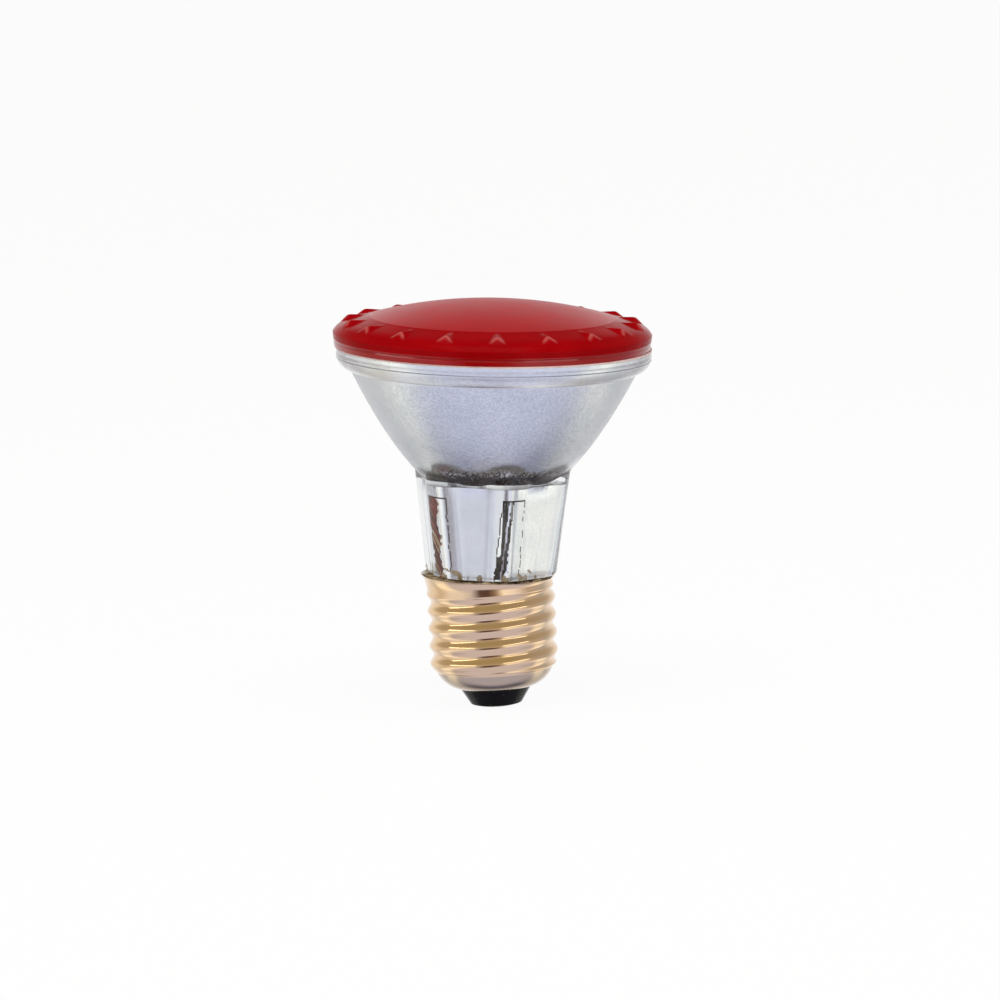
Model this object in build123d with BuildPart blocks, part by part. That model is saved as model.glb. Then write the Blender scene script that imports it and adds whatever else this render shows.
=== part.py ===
from build123d import *
import os
from math import cos, pi, radians, sin, sqrt

# Halogen reflector lamp of the PAR20 size, with a red front lens and an E27 screw cap.
# Millimetres, +Z up. The origin is the middle of the contact tip and Z is the axis of the screw cap.
# The glass head is drawn upright on its own axis, from its shoulder up, and then stood on the cap,
# where it leans towards +X because the cap was fixed on slightly crooked. The view from -Y is the front.

# Screw cap
THREAD_CREST_R = 13.1
THREAD_DEPTH = 0.8
THREAD_PITCH = 3.62
THREAD_LENGTH = 15.3
THREAD_START_ANGLE = 92.5
THREAD_RUN_OUT = 0.8
THREAD_SECTIONS_PER_TURN = 10
SHELL_WALL = 0.3
BOWL_STEP = 0.4
BOWL_HEIGHT = 3.75
BOWL_BULGE = 0.75
COLLAR_STEP = 0.2
COLLAR_HEIGHT = 2.5
LIP_FLARE = 0.7
LIP_SHIFT = -0.5
NOSE_TOP_R = 7.3
NOSE_TAPER = 2.1
NOSE_HEIGHT = 3.4
NOSE_EDGE_R = 0.5
DISH_MARGIN = 1.4
DISH_FLOOR_T = 2.2
DISH_WALL = 1.4
CONTACT_MARGIN = 0.4
CONTACT_T = 0.6
CONTACT_PROUD = 0.25
RIVET_R = 1.6
RIVET_LIP = 0.2
SOLDER_DEPTH = 0.35
SIDE_SOLDER_R = 0.9
SIDE_SOLDER_HEIGHT = 1.2

# Seat of the glass head on the cap
HEAD_LEAN = 3.8
SHOULDER_GAP = 0.4
STEM_GAP = 0.8
STEM_LENGTH = 8.2
CEMENT_DROP = 0.9

# Neck of the reflector
NECK_HEIGHT = 22.5
NECK_FLATS_BOTTOM = 25.6
NECK_FLATS_TOP = 30.4
NECK_CORNER_R = 7.8
NECK_TURN = 43.0
NECK_EDGE_R = 0.8
NECK_SIDES = 6
STEM_WALL = 2.2
CAVITY_TAPER = 0.5
CAVITY_CORNER_R = 1.2
NOTCH_WIDTH = 1.4
NOTCH_DEPTH = 1.1

# Bowl of the reflector
BOWL_FOCAL = 7.4
BOWL_FOOT_R = 16.9
BOWL_MOUTH_R = 29.2
BOWL_WALL = 3.93
MIRROR_FOCAL = 7.0
FLOOR_RISE = 3.0
FLOOR_T = 4.2
RIM_STEP = 2.9
RIM_SHOULDER_HEIGHT = 2.6
RIM_SHOULDER_BULGE = 0.55
RIM_BAND_HEIGHT = 1.9

# Front lens
BOND_T = 0.25
BOND_SETBACK = 0.2
LENS_OVERHANG = 0.4
LENS_T = 3.4
LENS_EDGE_HEIGHT = 2.9
LENS_TUCK = 0.3
LENS_KNUCKLE_INSET = 2.2
LENS_KNUCKLE_HEIGHT = 4.7
LENS_KNUCKLE_BULGE = 0.3
LENS_SHOULDER_HEIGHT = 6.1
LENS_SHOULDER_WIDTH = 7.5
LENS_DOME_HEIGHT = 3.3
LENS_SHIFT = 0.35
LUG_COUNT = 18
LUG_TURN = 1.45
LUG_INSET = 0.3
LUG_FACE_RUN = 1.9
LUG_RIDGE_LENGTH = 4.9
LUG_HALF_WIDTH = 2.15
LUG_HEIGHT = 5.95
LUG_FOOT_HEIGHT = 3.35

# Halogen capsule
BULB_R = 4.8
BULB_WALL = 0.9
BULB_LENGTH = 13.0
BULB_TIP_R = 0.9
BULB_TIP_LENGTH = 1.2
PINCH_WIDTH = 9.0
PINCH_T = 3.4
PINCH_HEIGHT = 7.0
COIL_CLEARANCE = 0.8
PINCH_CORNER_R = 0.8
CAPSULE_HOLE_GAP = 1.1
FOIL_SPREAD = 4.4
FOIL_WIDTH = 1.6
FOIL_T = 0.1
FOIL_HEIGHT = 4.4
FOIL_MARGIN = 1.3
PIN_R = 0.4
PIN_GRIP = 1.2
PIN_LENGTH = 3.6
COIL_R = 0.55
COIL_LENGTH = 5.0
COIL_PITCH = 0.5
FILAMENT_R = 0.12
LEG_R = 0.2
LEG_GRIP = 1.0
LEG_BEND_DROP = 2.0

# Leads
LEAD_R = 0.45
FUSE_R = 0.14
FUSE_LENGTH = 5.0
SLEEVE_WALL = 0.5
SLEEVE_CLEARANCE = 0.1
SLEEVE_LENGTH = 14.0
WELD_GAP = 0.03
WELD_LENGTH = 2.2
SLEEVE_GAP = 0.05
LEAD_BEND_R = 0.9
LEAD_CLEARANCE = 0.2
LEAD_DROP = 3.0
LEAD_TAIL = 2.0

# Heights on the cap, from the contact tip
nose_bottom = CONTACT_PROUD
bowl_bottom = nose_bottom + NOSE_HEIGHT
bowl_top = bowl_bottom + BOWL_HEIGHT
thread_bottom = bowl_top + THREAD_RUN_OUT
thread_top = thread_bottom + THREAD_LENGTH
collar_bottom = thread_top + THREAD_RUN_OUT
lip_height = collar_bottom + COLLAR_HEIGHT

# Radii on the cap, from the crests of its thread and from the top of its nose
bowl_top_r = THREAD_CREST_R - THREAD_DEPTH - BOWL_STEP
collar_r = THREAD_CREST_R - COLLAR_STEP
lip_r = collar_r + LIP_FLARE
nose_tip_r = NOSE_TOP_R - NOSE_TAPER
contact_r = nose_tip_r - NOSE_EDGE_R - CONTACT_MARGIN
solder_r = RIVET_R - RIVET_LIP
dish_floor_r = RIVET_R + DISH_MARGIN

# The glass head leans about the middle of the cap's mouth
head = Pos(0, 0, thread_top) * Rot(0, HEAD_LEAN, 0) * Pos(0, 0, lip_height + SHOULDER_GAP - thread_top)
lip_plane = Plane(Pos(LIP_SHIFT, 0, lip_height) * Rot(0, HEAD_LEAN, 0))

# Heights on the glass head, from the shoulder of the neck
bowl_vertex = NECK_HEIGHT - BOWL_FOOT_R**2 / (4 * BOWL_FOCAL)
bowl_mouth = bowl_vertex + BOWL_MOUTH_R**2 / (4 * BOWL_FOCAL)
rim_bottom = bowl_mouth + RIM_SHOULDER_HEIGHT
rim_top = rim_bottom + RIM_BAND_HEIGHT
mirror_vertex = bowl_vertex + BOWL_WALL
mirror_focus = mirror_vertex + MIRROR_FOCAL
floor_height = mirror_vertex + FLOOR_RISE
ceiling_height = floor_height - FLOOR_T
floor_r = sqrt(4 * MIRROR_FOCAL * FLOOR_RISE)
mirror_mouth_r = sqrt(4 * MIRROR_FOCAL * (rim_top - mirror_vertex))
stem_r = THREAD_CREST_R - THREAD_DEPTH - SHELL_WALL - STEM_GAP
cavity_flats_bottom = 2 * (stem_r - STEM_WALL) * cos(pi / NECK_SIDES)
cavity_flats_top = cavity_flats_bottom - 2 * CAVITY_TAPER
rim_r = BOWL_MOUTH_R + RIM_STEP
lens_r = rim_r + LENS_OVERHANG
lens_crease_r = lens_r - LENS_SHOULDER_WIDTH
lug_foot_r = lens_r - LUG_INSET
lug_ridge_r = lug_foot_r - LUG_FACE_RUN
lug_inner_r = lug_ridge_r - LUG_RIDGE_LENGTH
lens_bottom = rim_top + BOND_T
lens_crease = lens_bottom + LENS_SHOULDER_HEIGHT
pinch_top = mirror_focus - COIL_R - FILAMENT_R - COIL_CLEARANCE - BULB_WALL
pinch_bottom = pinch_top - PINCH_HEIGHT
bulb_top = pinch_top + BULB_LENGTH
capsule_hole_r = sqrt(PINCH_WIDTH**2 + PINCH_T**2) / 2 + CAPSULE_HOLE_GAP
foil_bottom = pinch_bottom + FOIL_MARGIN
foil_top = foil_bottom + FOIL_HEIGHT
pin_y = FOIL_T / 2 + PIN_R
pin_bottom = pinch_bottom - PIN_LENGTH

os.makedirs("parts", exist_ok=True)


def paraboloid(focal, vertex, inner_r, outer_r):
    """Control points of the parabola z = vertex + r^2 / (4 focal) from one radius to another."""
    return (
        (inner_r, vertex + inner_r**2 / (4 * focal)),
        ((inner_r + outer_r) / 2, vertex + inner_r * outer_r / (4 * focal)),
        (outer_r, vertex + outer_r**2 / (4 * focal)),
    )


def dome_radius(rim_r, height):
    """Radius of the sphere whose cap has this rim and height."""
    return (rim_r**2 + height**2) / (2 * height)


def cap_bowl(inset):
    """Rounded bottom of the screw shell as a solid, drawn in by the inset."""
    with BuildPart() as form:
        with BuildSketch(Plane.XZ):
            with BuildLine():
                foot = (NOSE_TOP_R - inset, bowl_bottom)
                top = (bowl_top_r - inset, bowl_top)
                Polyline((0, bowl_top), (0, bowl_bottom), foot)
                SagittaArc(foot, top, -BOWL_BULGE)
                Line(top, (0, bowl_top))
            make_face()
        revolve(axis=Axis.Z)
    return form.part


def cap_thread(inset):
    """Threaded length of the screw shell: a round section whose centre winds round the axis."""
    mean_r = THREAD_CREST_R - THREAD_DEPTH / 2
    steps = round(THREAD_SECTIONS_PER_TURN * THREAD_LENGTH / THREAD_PITCH)
    with BuildPart() as form:
        for step in range(steps + 1):
            rise = THREAD_LENGTH * step / steps
            turn = radians(THREAD_START_ANGLE + 360 * rise / THREAD_PITCH)
            with BuildSketch(Plane.XY.offset(thread_bottom + rise)):
                with Locations((THREAD_DEPTH / 2 * cos(turn), THREAD_DEPTH / 2 * sin(turn))):
                    Circle(mean_r - inset)
        loft()
        for end_height, turned, next_height, next_r in (
            (thread_bottom, 0, bowl_top, bowl_top_r),
            (thread_top, THREAD_LENGTH, collar_bottom, collar_r),
        ):
            turn = radians(THREAD_START_ANGLE + 360 * turned / THREAD_PITCH)
            with BuildSketch(Plane.XY.offset(end_height)):
                with Locations((THREAD_DEPTH / 2 * cos(turn), THREAD_DEPTH / 2 * sin(turn))):
                    Circle(mean_r - inset)
            with BuildSketch(Plane.XY.offset(next_height)):
                Circle(next_r - inset)
            loft(ruled=True)
    return form.part


def cap_collar(inset):
    """Plain collar of the screw shell, flared to a lip that lies square to the glass."""
    with BuildPart() as form:
        with BuildSketch(Plane.XY.offset(collar_bottom)):
            Circle(collar_r - inset)
        with BuildSketch(lip_plane):
            Circle(lip_r - inset)
        loft(ruled=True)
    return form.part


def wire(points, radius, bend_radii):
    """Round wire along straight runs joined by tangent bends."""
    with BuildPart() as run:
        with BuildLine() as route:
            if bend_radii:
                FilletPolyline(*points, radius=bend_radii)
            else:
                Line(*points)
        with BuildSketch(Plane(origin=route.line @ 0, z_dir=route.line % 0)):
            Circle(radius)
        sweep()
    return run.part


# Screw shell, rolled from thin sheet
shell_outside = [cap_bowl(0), cap_thread(0), cap_collar(0)]
shell_inside = [cap_bowl(SHELL_WALL), cap_thread(SHELL_WALL), cap_collar(SHELL_WALL)]
with BuildPart() as cap_shell:
    add(shell_outside)
    add(shell_inside, mode=Mode.SUBTRACT)
cap_shell.part.label = "cap_shell"
export_step(cap_shell.part, "parts/cap_shell.step")

# Contact plate with the hollow rivet that carries the centre lead, dished for its solder
dish_floor = bowl_bottom + DISH_FLOOR_T
rivet_bore_r = LEAD_R + LEAD_CLEARANCE
with BuildPart() as centre_contact:
    with BuildSketch():
        Circle(contact_r)
    extrude(amount=CONTACT_T)
    fillet(centre_contact.edges().group_by(Axis.Z)[0], CONTACT_PROUD)
    with BuildSketch(Plane.XY.offset(CONTACT_T)):
        Circle(RIVET_R)
    extrude(amount=dish_floor - CONTACT_T)
    with BuildSketch(Plane.XY.offset(SOLDER_DEPTH)):
        Circle(rivet_bore_r)
    extrude(amount=dish_floor, mode=Mode.SUBTRACT)
    with BuildSketch():
        Circle(solder_r)
    extrude(amount=SOLDER_DEPTH, mode=Mode.SUBTRACT)
centre_contact.part.label = "centre_contact"
export_step(centre_contact.part, "parts/centre_contact.step")

with BuildPart() as centre_solder:
    with BuildSketch():
        Circle(solder_r)
    extrude(amount=SOLDER_DEPTH)
centre_solder.part.label = "centre_solder"
export_step(centre_solder.part, "parts/centre_solder.step")

# Black glass nose, moulded into the bottom of the shell and dished inside
nose_fill = cap_bowl(SHELL_WALL)
with BuildPart() as cap_insulator:
    with BuildSketch(Plane.XZ):
        with BuildLine():
            Polyline(
                (0, bowl_bottom),
                (0, nose_bottom),
                (nose_tip_r, nose_bottom),
                (NOSE_TOP_R, bowl_bottom),
                close=True,
            )
        make_face()
        fillet(vertices().sort_by(Axis.Y)[:2].sort_by(Axis.X)[-1], NOSE_EDGE_R)
    revolve(axis=Axis.Z)
    add(nose_fill)
    with BuildSketch(Plane.XY.offset(dish_floor)):
        Circle(dish_floor_r)
    with BuildSketch(Plane.XY.offset(bowl_top)):
        Circle(bowl_top_r - SHELL_WALL - DISH_WALL)
    loft(mode=Mode.SUBTRACT)
    add(centre_contact.part, mode=Mode.SUBTRACT)
    with BuildSketch():
        Circle(RIVET_R)
    extrude(amount=dish_floor, mode=Mode.SUBTRACT)
cap_insulator.part.label = "cap_insulator"
export_step(cap_insulator.part, "parts/cap_insulator.step")

# Reflector: paraboloid bowl, six-sided clear neck and a round stem that goes into the cap
with BuildPart() as reflector:
    for height, flats in ((0, NECK_FLATS_BOTTOM), (NECK_HEIGHT, NECK_FLATS_TOP)):
        with BuildSketch(Plane.XY.offset(height)):
            RegularPolygon(flats / 2, NECK_SIDES, major_radius=False, rotation=NECK_TURN)
            fillet(vertices(), NECK_CORNER_R)
    loft(ruled=True)
    fillet(reflector.edges().group_by(Axis.Z)[0], NECK_EDGE_R)
    with BuildSketch(Plane.XZ):
        with BuildLine():
            mouth = (BOWL_MOUTH_R, bowl_mouth)
            Bezier(*paraboloid(BOWL_FOCAL, bowl_vertex, 0, BOWL_MOUTH_R))
            SagittaArc(mouth, (rim_r, rim_bottom), -RIM_SHOULDER_BULGE)
            Polyline((rim_r, rim_bottom), (rim_r, rim_top), (0, rim_top), (0, bowl_vertex))
        make_face()
    revolve(axis=Axis.Z)
    with BuildSketch(Plane.XY.offset(-STEM_LENGTH)):
        Circle(stem_r)
    extrude(amount=STEM_LENGTH + NECK_EDGE_R)
    with BuildSketch(Plane.XZ):
        with BuildLine():
            Bezier(*paraboloid(MIRROR_FOCAL, mirror_vertex, floor_r, mirror_mouth_r))
            Polyline(
                (mirror_mouth_r, rim_top),
                (0, rim_top),
                (0, floor_height),
                (floor_r, floor_height),
            )
        make_face()
    revolve(axis=Axis.Z, mode=Mode.SUBTRACT)
    for height, flats in ((-STEM_LENGTH, cavity_flats_bottom), (ceiling_height, cavity_flats_top)):
        with BuildSketch(Plane.XY.offset(height)):
            RegularPolygon(flats / 2, NECK_SIDES, major_radius=False, rotation=NECK_TURN)
            fillet(vertices(), CAVITY_CORNER_R)
    loft(ruled=True, mode=Mode.SUBTRACT)
    with BuildSketch(Plane.XY.offset(ceiling_height)):
        Circle(capsule_hole_r)
    extrude(amount=FLOOR_T, mode=Mode.SUBTRACT)
    with BuildSketch(Plane.XY.offset(-STEM_LENGTH)):
        with Locations((-stem_r, 0)):
            Rectangle(2 * NOTCH_DEPTH, NOTCH_WIDTH)
    extrude(amount=STEM_LENGTH, mode=Mode.SUBTRACT)
reflector.part.move(head)
reflector.part.label = "reflector"
export_step(reflector.part, "parts/reflector.step")

# Front lens: edge band, sloped shoulder with wedge lugs, shallow dome
with BuildPart() as lug:
    ridge_drop = LUG_HEIGHT - LUG_FOOT_HEIGHT
    ridge = Vector(lug_ridge_r, 0, lens_bottom + LUG_HEIGHT)
    face_plane = Plane(ridge, x_dir=(0, 1, 0), z_dir=(ridge_drop, 0, LUG_FACE_RUN))
    face_length = sqrt(ridge_drop**2 + LUG_FACE_RUN**2)
    with BuildSketch(face_plane) as lug_face:
        Polygon((0, 0), (LUG_HALF_WIDTH, -face_length), (-LUG_HALF_WIDTH, -face_length), align=None)
    loft([lug_face.sketch.face(), Vertex(lug_inner_r, 0, lens_bottom + LUG_HEIGHT)])
with BuildPart() as front_lens:
    inner_crease_r = lens_crease_r - LENS_T / 2
    with BuildSketch(Plane.XZ):
        with BuildLine():
            edge = (lens_r, lens_bottom + LENS_EDGE_HEIGHT)
            crease = (lens_crease_r, lens_crease)
            apex = (0, lens_crease + LENS_DOME_HEIGHT)
            inner_apex = (0, lens_crease + LENS_DOME_HEIGHT - LENS_T)
            inner_crease = (inner_crease_r, lens_crease - LENS_T)
            knuckle = (lens_r - LENS_KNUCKLE_INSET, lens_bottom + LENS_KNUCKLE_HEIGHT)
            Polyline((mirror_mouth_r, lens_bottom), (lens_r - LENS_TUCK, lens_bottom), edge)
            SagittaArc(edge, knuckle, -LENS_KNUCKLE_BULGE)
            Line(knuckle, crease)
            RadiusArc(crease, apex, -dome_radius(lens_crease_r, LENS_DOME_HEIGHT))
            Line(apex, inner_apex)
            RadiusArc(inner_apex, inner_crease, dome_radius(inner_crease_r, LENS_DOME_HEIGHT))
            Line(inner_crease, (mirror_mouth_r, lens_bottom))
        make_face()
    revolve(axis=Axis.Z)
    with PolarLocations(0, LUG_COUNT, start_angle=LUG_TURN - 90):
        add(lug.part)
front_lens.part.move(head * Pos(-LENS_SHIFT, 0, 0))
front_lens.part.label = "front_lens"
export_step(front_lens.part, "parts/front_lens.step")

# Bead of adhesive between the rim and the lens
with BuildPart() as lens_bond:
    with BuildSketch(Plane.XY.offset(rim_top)):
        Circle(rim_r - BOND_SETBACK)
        Circle(mirror_mouth_r, mode=Mode.SUBTRACT)
    extrude(amount=BOND_T)
lens_bond.part.move(head)
lens_bond.part.label = "lens_bond"
export_step(lens_bond.part, "parts/lens_bond.step")

# Filament: a coil across the focus of the mirror, with a leg down to each sealing foil
leg_y = -FOIL_T / 2 - LEG_R
coil = Helix(
    COIL_PITCH, COIL_LENGTH, COIL_R, center=(-COIL_LENGTH / 2, 0, mirror_focus), direction=(1, 0, 0)
)
filament_legs = [
    wire(
        [
            coil_end,
            (side * FOIL_SPREAD / 2, leg_y, mirror_focus - COIL_R - LEG_BEND_DROP),
            (side * FOIL_SPREAD / 2, leg_y, foil_top - LEG_GRIP),
        ],
        LEG_R,
        [2 * LEG_R],
    )
    for side, coil_end in ((-1, coil @ 0), (1, coil @ 1))
]
with BuildPart() as filament:
    with BuildSketch(Plane(origin=coil @ 0, z_dir=coil % 0)):
        Circle(FILAMENT_R)
    sweep(path=coil, is_frenet=True)
    add(filament_legs)
filament.part.label = "filament"

# Sealing foils and outer pins, one of each for each side of the pinch
foils = {}
pins = {}
for side_name, side in (("left", -1), ("right", 1)):
    with BuildPart() as foil:
        with BuildSketch(Plane.XY.offset(foil_bottom)):
            with Locations((side * FOIL_SPREAD / 2, 0)):
                Rectangle(FOIL_WIDTH, FOIL_T)
        extrude(amount=FOIL_HEIGHT)
    with BuildPart() as pin:
        with BuildSketch(Plane.XY.offset(pin_bottom)):
            with Locations((side * FOIL_SPREAD / 2, pin_y)):
                Circle(PIN_R)
        extrude(amount=foil_bottom + PIN_GRIP - pin_bottom)
    foils[side_name] = foil
    pins[side_name] = pin

# Capsule: hollow tube with a domed end and exhaust tip, flattened to a pinch seal at its foot
with BuildPart() as capsule:
    with BuildSketch(Plane.XY.offset(pinch_bottom)):
        RectangleRounded(PINCH_WIDTH, PINCH_T, PINCH_CORNER_R)
    extrude(amount=PINCH_HEIGHT + BULB_WALL)
    with BuildSketch(Plane.XZ):
        with BuildLine():
            dome_top = (0, bulb_top + BULB_R)
            Polyline(dome_top, (0, pinch_top), (BULB_R, pinch_top), (BULB_R, bulb_top))
            RadiusArc((BULB_R, bulb_top), dome_top, -BULB_R)
        make_face()
    revolve(axis=Axis.Z)
    with BuildSketch(Plane.XY.offset(bulb_top + BULB_R - BULB_WALL / 2)):
        Circle(BULB_TIP_R)
    extrude(amount=BULB_TIP_LENGTH)
    with BuildSketch(Plane.XZ):
        with BuildLine():
            hollow_r = BULB_R - BULB_WALL
            hollow_top = (0, bulb_top + hollow_r)
            Polyline(
                hollow_top,
                (0, pinch_top + BULB_WALL),
                (hollow_r, pinch_top + BULB_WALL),
                (hollow_r, bulb_top),
            )
            RadiusArc((hollow_r, bulb_top), hollow_top, -hollow_r)
        make_face()
    revolve(axis=Axis.Z, mode=Mode.SUBTRACT)
    add(filament_legs, mode=Mode.SUBTRACT)
    for side_name in foils:
        add(foils[side_name].part, mode=Mode.SUBTRACT)
        add(pins[side_name].part, mode=Mode.SUBTRACT)
capsule.part.move(head)
capsule.part.label = "capsule"
export_step(capsule.part, "parts/capsule.step")
filament.part.move(head)
export_step(filament.part, "parts/filament.step")
for side_name in foils:
    for kind, piece in (("foil", foils[side_name]), ("pin", pins[side_name])):
        piece.part.move(head)
        piece.part.label = f"{kind}_{side_name}"
        export_step(piece.part, f"parts/{kind}_{side_name}.step")

# Cement that fills the hole in the bowl's floor round the pinch
with BuildPart() as capsule_cement:
    with BuildSketch(Plane.XY.offset(ceiling_height)):
        Circle(capsule_hole_r)
        RectangleRounded(PINCH_WIDTH, PINCH_T, PINCH_CORNER_R, mode=Mode.SUBTRACT)
    extrude(amount=FLOOR_T)
capsule_cement.part.move(head)
capsule_cement.part.label = "capsule_cement"
export_step(capsule_cement.part, "parts/capsule_cement.step")

# Side lead: welded to the left pin, over and down a corner of the neck, under the stem and up its notch
weld_x = FOIL_SPREAD / 2 + PIN_R + LEAD_R + WELD_GAP
weld_top = pin_bottom + WELD_LENGTH
notch_x = stem_r - NOTCH_DEPTH + LEAD_R + WELD_GAP
sleeve_bore_r = LEAD_R + SLEEVE_CLEARANCE
sleeve_r = sleeve_bore_r + SLEEVE_WALL
side_lead_reach = (cavity_flats_top / 2 - sleeve_r - SLEEVE_GAP) / cos(pi / NECK_SIDES)
side_lead_x = -side_lead_reach * cos(radians(NECK_TURN))
side_lead_y = -side_lead_reach * sin(radians(NECK_TURN))
lip_middle = (head.inverse() * Pos(LIP_SHIFT, 0, lip_height)).position
lead_end = Pos(lip_middle.X - lip_r + SHELL_WALL + LEAD_R + LEAD_CLEARANCE, 0, lip_middle.Z - LEAD_R)
sleeve_top = weld_top - LEAD_BEND_R
fuse_top = sleeve_top - (SLEEVE_LENGTH - FUSE_LENGTH) / 2
fuse_bottom = fuse_top - FUSE_LENGTH
lead_turn = -STEM_LENGTH - LEAD_DROP
side_upper = wire(
    [
        (-weld_x, pin_y, pin_bottom),
        (-weld_x, pin_y, weld_top),
        (side_lead_x, side_lead_y, weld_top),
        (side_lead_x, side_lead_y, fuse_top),
    ],
    LEAD_R,
    [LEAD_BEND_R, LEAD_BEND_R],
)
with BuildPart() as lead_side_upper:
    add(side_upper)
lead_side_upper.part.move(head)
lead_side_upper.part.label = "lead_side_upper"
export_step(lead_side_upper.part, "parts/lead_side_upper.step")

with BuildPart() as fuse_link:
    with BuildSketch(Plane.XY.offset(fuse_bottom)):
        with Locations((side_lead_x, side_lead_y)):
            Circle(FUSE_R)
    extrude(amount=FUSE_LENGTH)
fuse_link.part.move(head)
fuse_link.part.label = "fuse_link"
export_step(fuse_link.part, "parts/fuse_link.step")

side_lower = wire(
    [
        (side_lead_x, side_lead_y, fuse_bottom),
        (side_lead_x, side_lead_y, lead_turn),
        (-notch_x, 0, lead_turn),
        (-notch_x, 0, -LEAD_TAIL),
        lead_end.position,
    ],
    LEAD_R,
    [LEAD_BEND_R, LEAD_BEND_R, LEAD_R],
)
with BuildPart() as lead_side_lower:
    add(side_lower)
lead_side_lower.part.move(head)
lead_side_lower.part.label = "lead_side_lower"
export_step(lead_side_lower.part, "parts/lead_side_lower.step")

with BuildPart() as fuse_sleeve:
    with BuildSketch(Plane.XY.offset(sleeve_top - SLEEVE_LENGTH)):
        with Locations((side_lead_x, side_lead_y)):
            Circle(sleeve_r)
            Circle(sleeve_bore_r, mode=Mode.SUBTRACT)
    extrude(amount=SLEEVE_LENGTH)
fuse_sleeve.part.move(head)
fuse_sleeve.part.label = "fuse_sleeve"
export_step(fuse_sleeve.part, "parts/fuse_sleeve.step")

# Centre lead: welded to the right pin, down the neck and into the rivet on the cap's axis
weld_point = (head * Pos(weld_x, pin_y, weld_top)).position
drop_point = (head * Pos(weld_x, pin_y, -LEAD_TAIL)).position
with BuildPart() as lead_centre:
    add(
        wire(
            [weld_point, drop_point, (0, 0, bowl_top + LEAD_DROP), (0, 0, SOLDER_DEPTH)],
            LEAD_R,
            [LEAD_BEND_R, LEAD_BEND_R],
        )
    )
lead_centre.part.label = "lead_centre"
export_step(lead_centre.part, "parts/lead_centre.step")

# Solder that joins the side lead to the lip of the shell
collar_fill = cap_collar(SHELL_WALL)
with BuildPart() as side_solder:
    with BuildSketch(Plane(head * lead_end * Pos(0, 0, -SIDE_SOLDER_HEIGHT / 2))):
        Circle(SIDE_SOLDER_R)
    extrude(amount=SIDE_SOLDER_HEIGHT)
    add(collar_fill, mode=Mode.INTERSECT)
    add(lead_side_lower.part, mode=Mode.SUBTRACT)
side_solder.part.label = "side_solder"
export_step(side_solder.part, "parts/side_solder.step")

# Cement between the stem and the collar of the shell
with BuildPart() as basing_cement:
    add(collar_fill)
    split(bisect_by=lip_plane.offset(-CEMENT_DROP), keep=Keep.BOTTOM)
    with BuildSketch(Plane(head * Pos(0, 0, -STEM_LENGTH))):
        Circle(stem_r - NOTCH_DEPTH)
    extrude(amount=STEM_LENGTH, mode=Mode.SUBTRACT)
    add(reflector.part, mode=Mode.SUBTRACT)
    add(lead_side_lower.part, mode=Mode.SUBTRACT)
    add(side_solder.part, mode=Mode.SUBTRACT)
basing_cement.part.label = "basing_cement"
export_step(basing_cement.part, "parts/basing_cement.step")
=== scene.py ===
"""Looks of a halogen reflector lamp with a red front lens and a screw cap, built round its CAD frame."""

import logging
import math
from dataclasses import dataclass, field
from enum import IntEnum
from typing import Any

import bpy
import numpy as np
from mathutils import Matrix, Vector


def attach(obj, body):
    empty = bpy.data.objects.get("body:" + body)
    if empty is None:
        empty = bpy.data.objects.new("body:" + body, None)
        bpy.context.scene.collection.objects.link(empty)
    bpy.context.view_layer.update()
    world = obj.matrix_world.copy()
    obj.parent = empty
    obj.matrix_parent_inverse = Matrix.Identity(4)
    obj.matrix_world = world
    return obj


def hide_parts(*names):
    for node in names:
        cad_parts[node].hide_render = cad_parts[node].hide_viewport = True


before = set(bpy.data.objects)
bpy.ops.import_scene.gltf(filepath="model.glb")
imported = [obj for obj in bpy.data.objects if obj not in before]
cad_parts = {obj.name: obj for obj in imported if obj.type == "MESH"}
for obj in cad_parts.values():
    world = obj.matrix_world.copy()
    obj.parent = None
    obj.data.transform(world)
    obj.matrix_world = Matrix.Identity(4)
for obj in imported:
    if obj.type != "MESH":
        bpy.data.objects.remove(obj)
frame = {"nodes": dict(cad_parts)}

LOG = logging.getLogger("lamp")
MM = 0.001
BODY = "root"
SIXTH = math.pi / 3

Tree = bpy.types.NodeTree
Socket = bpy.types.NodeSocket
Point = tuple[float, float]
Stops = tuple[tuple[float, str], ...]
Waves = tuple[tuple[float, float, Any], ...]


def linear(colour: str) -> tuple[float, float, float, float]:
    """Turn an sRGB hex colour into linear RGBA.

    Args:
        colour: The colour as "#RRGGBB".

    Returns:
        Linear red, green, blue and an alpha of 1.
    """
    parts = [int(colour[i : i + 2], 16) / 255 for i in (1, 3, 5)]
    return (*[p / 12.92 if p <= 0.04045 else ((p + 0.055) / 1.055) ** 2.4 for p in parts], 1.0)


def per_mm(size_mm: float) -> float:
    """Return the texture scale at which a pattern repeats every size_mm."""
    return 1.0 / (size_mm * MM)


def add_node(tree: Tree, kind: str, inputs: dict[Any, Any] | None = None, **settings: Any) -> bpy.types.Node:
    """Add one node to a tree with its settings, values and links.

    Args:
        tree: The node tree that takes the node.
        kind: Blender's type name of the node.
        inputs: For each input's name or number, a value or the output socket that feeds it.
        **settings: Properties of the node itself.

    Returns:
        The new node.
    """
    node = tree.nodes.new(kind)
    for name, value in settings.items():
        setattr(node, name, value)
    for key, value in (inputs or {}).items():
        if isinstance(value, bpy.types.NodeSocket):
            tree.links.new(value, node.inputs[key])
        else:
            node.inputs[key].default_value = value
    return node


def smooth_max(first: np.ndarray, second: np.ndarray, radius: float) -> np.ndarray:
    """Return the larger of two height fields with the crease between them rounded off."""
    return 0.5 * (first + second + np.sqrt((first - second) ** 2 + radius**2))


def wander(where: Any, waves: Waves) -> Any:
    """Return the sum of sine waves, given as height, pace and start, at one place or at each of an array."""
    return sum(height * np.sin(pace * where + start) for height, pace, start in waves)


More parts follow.
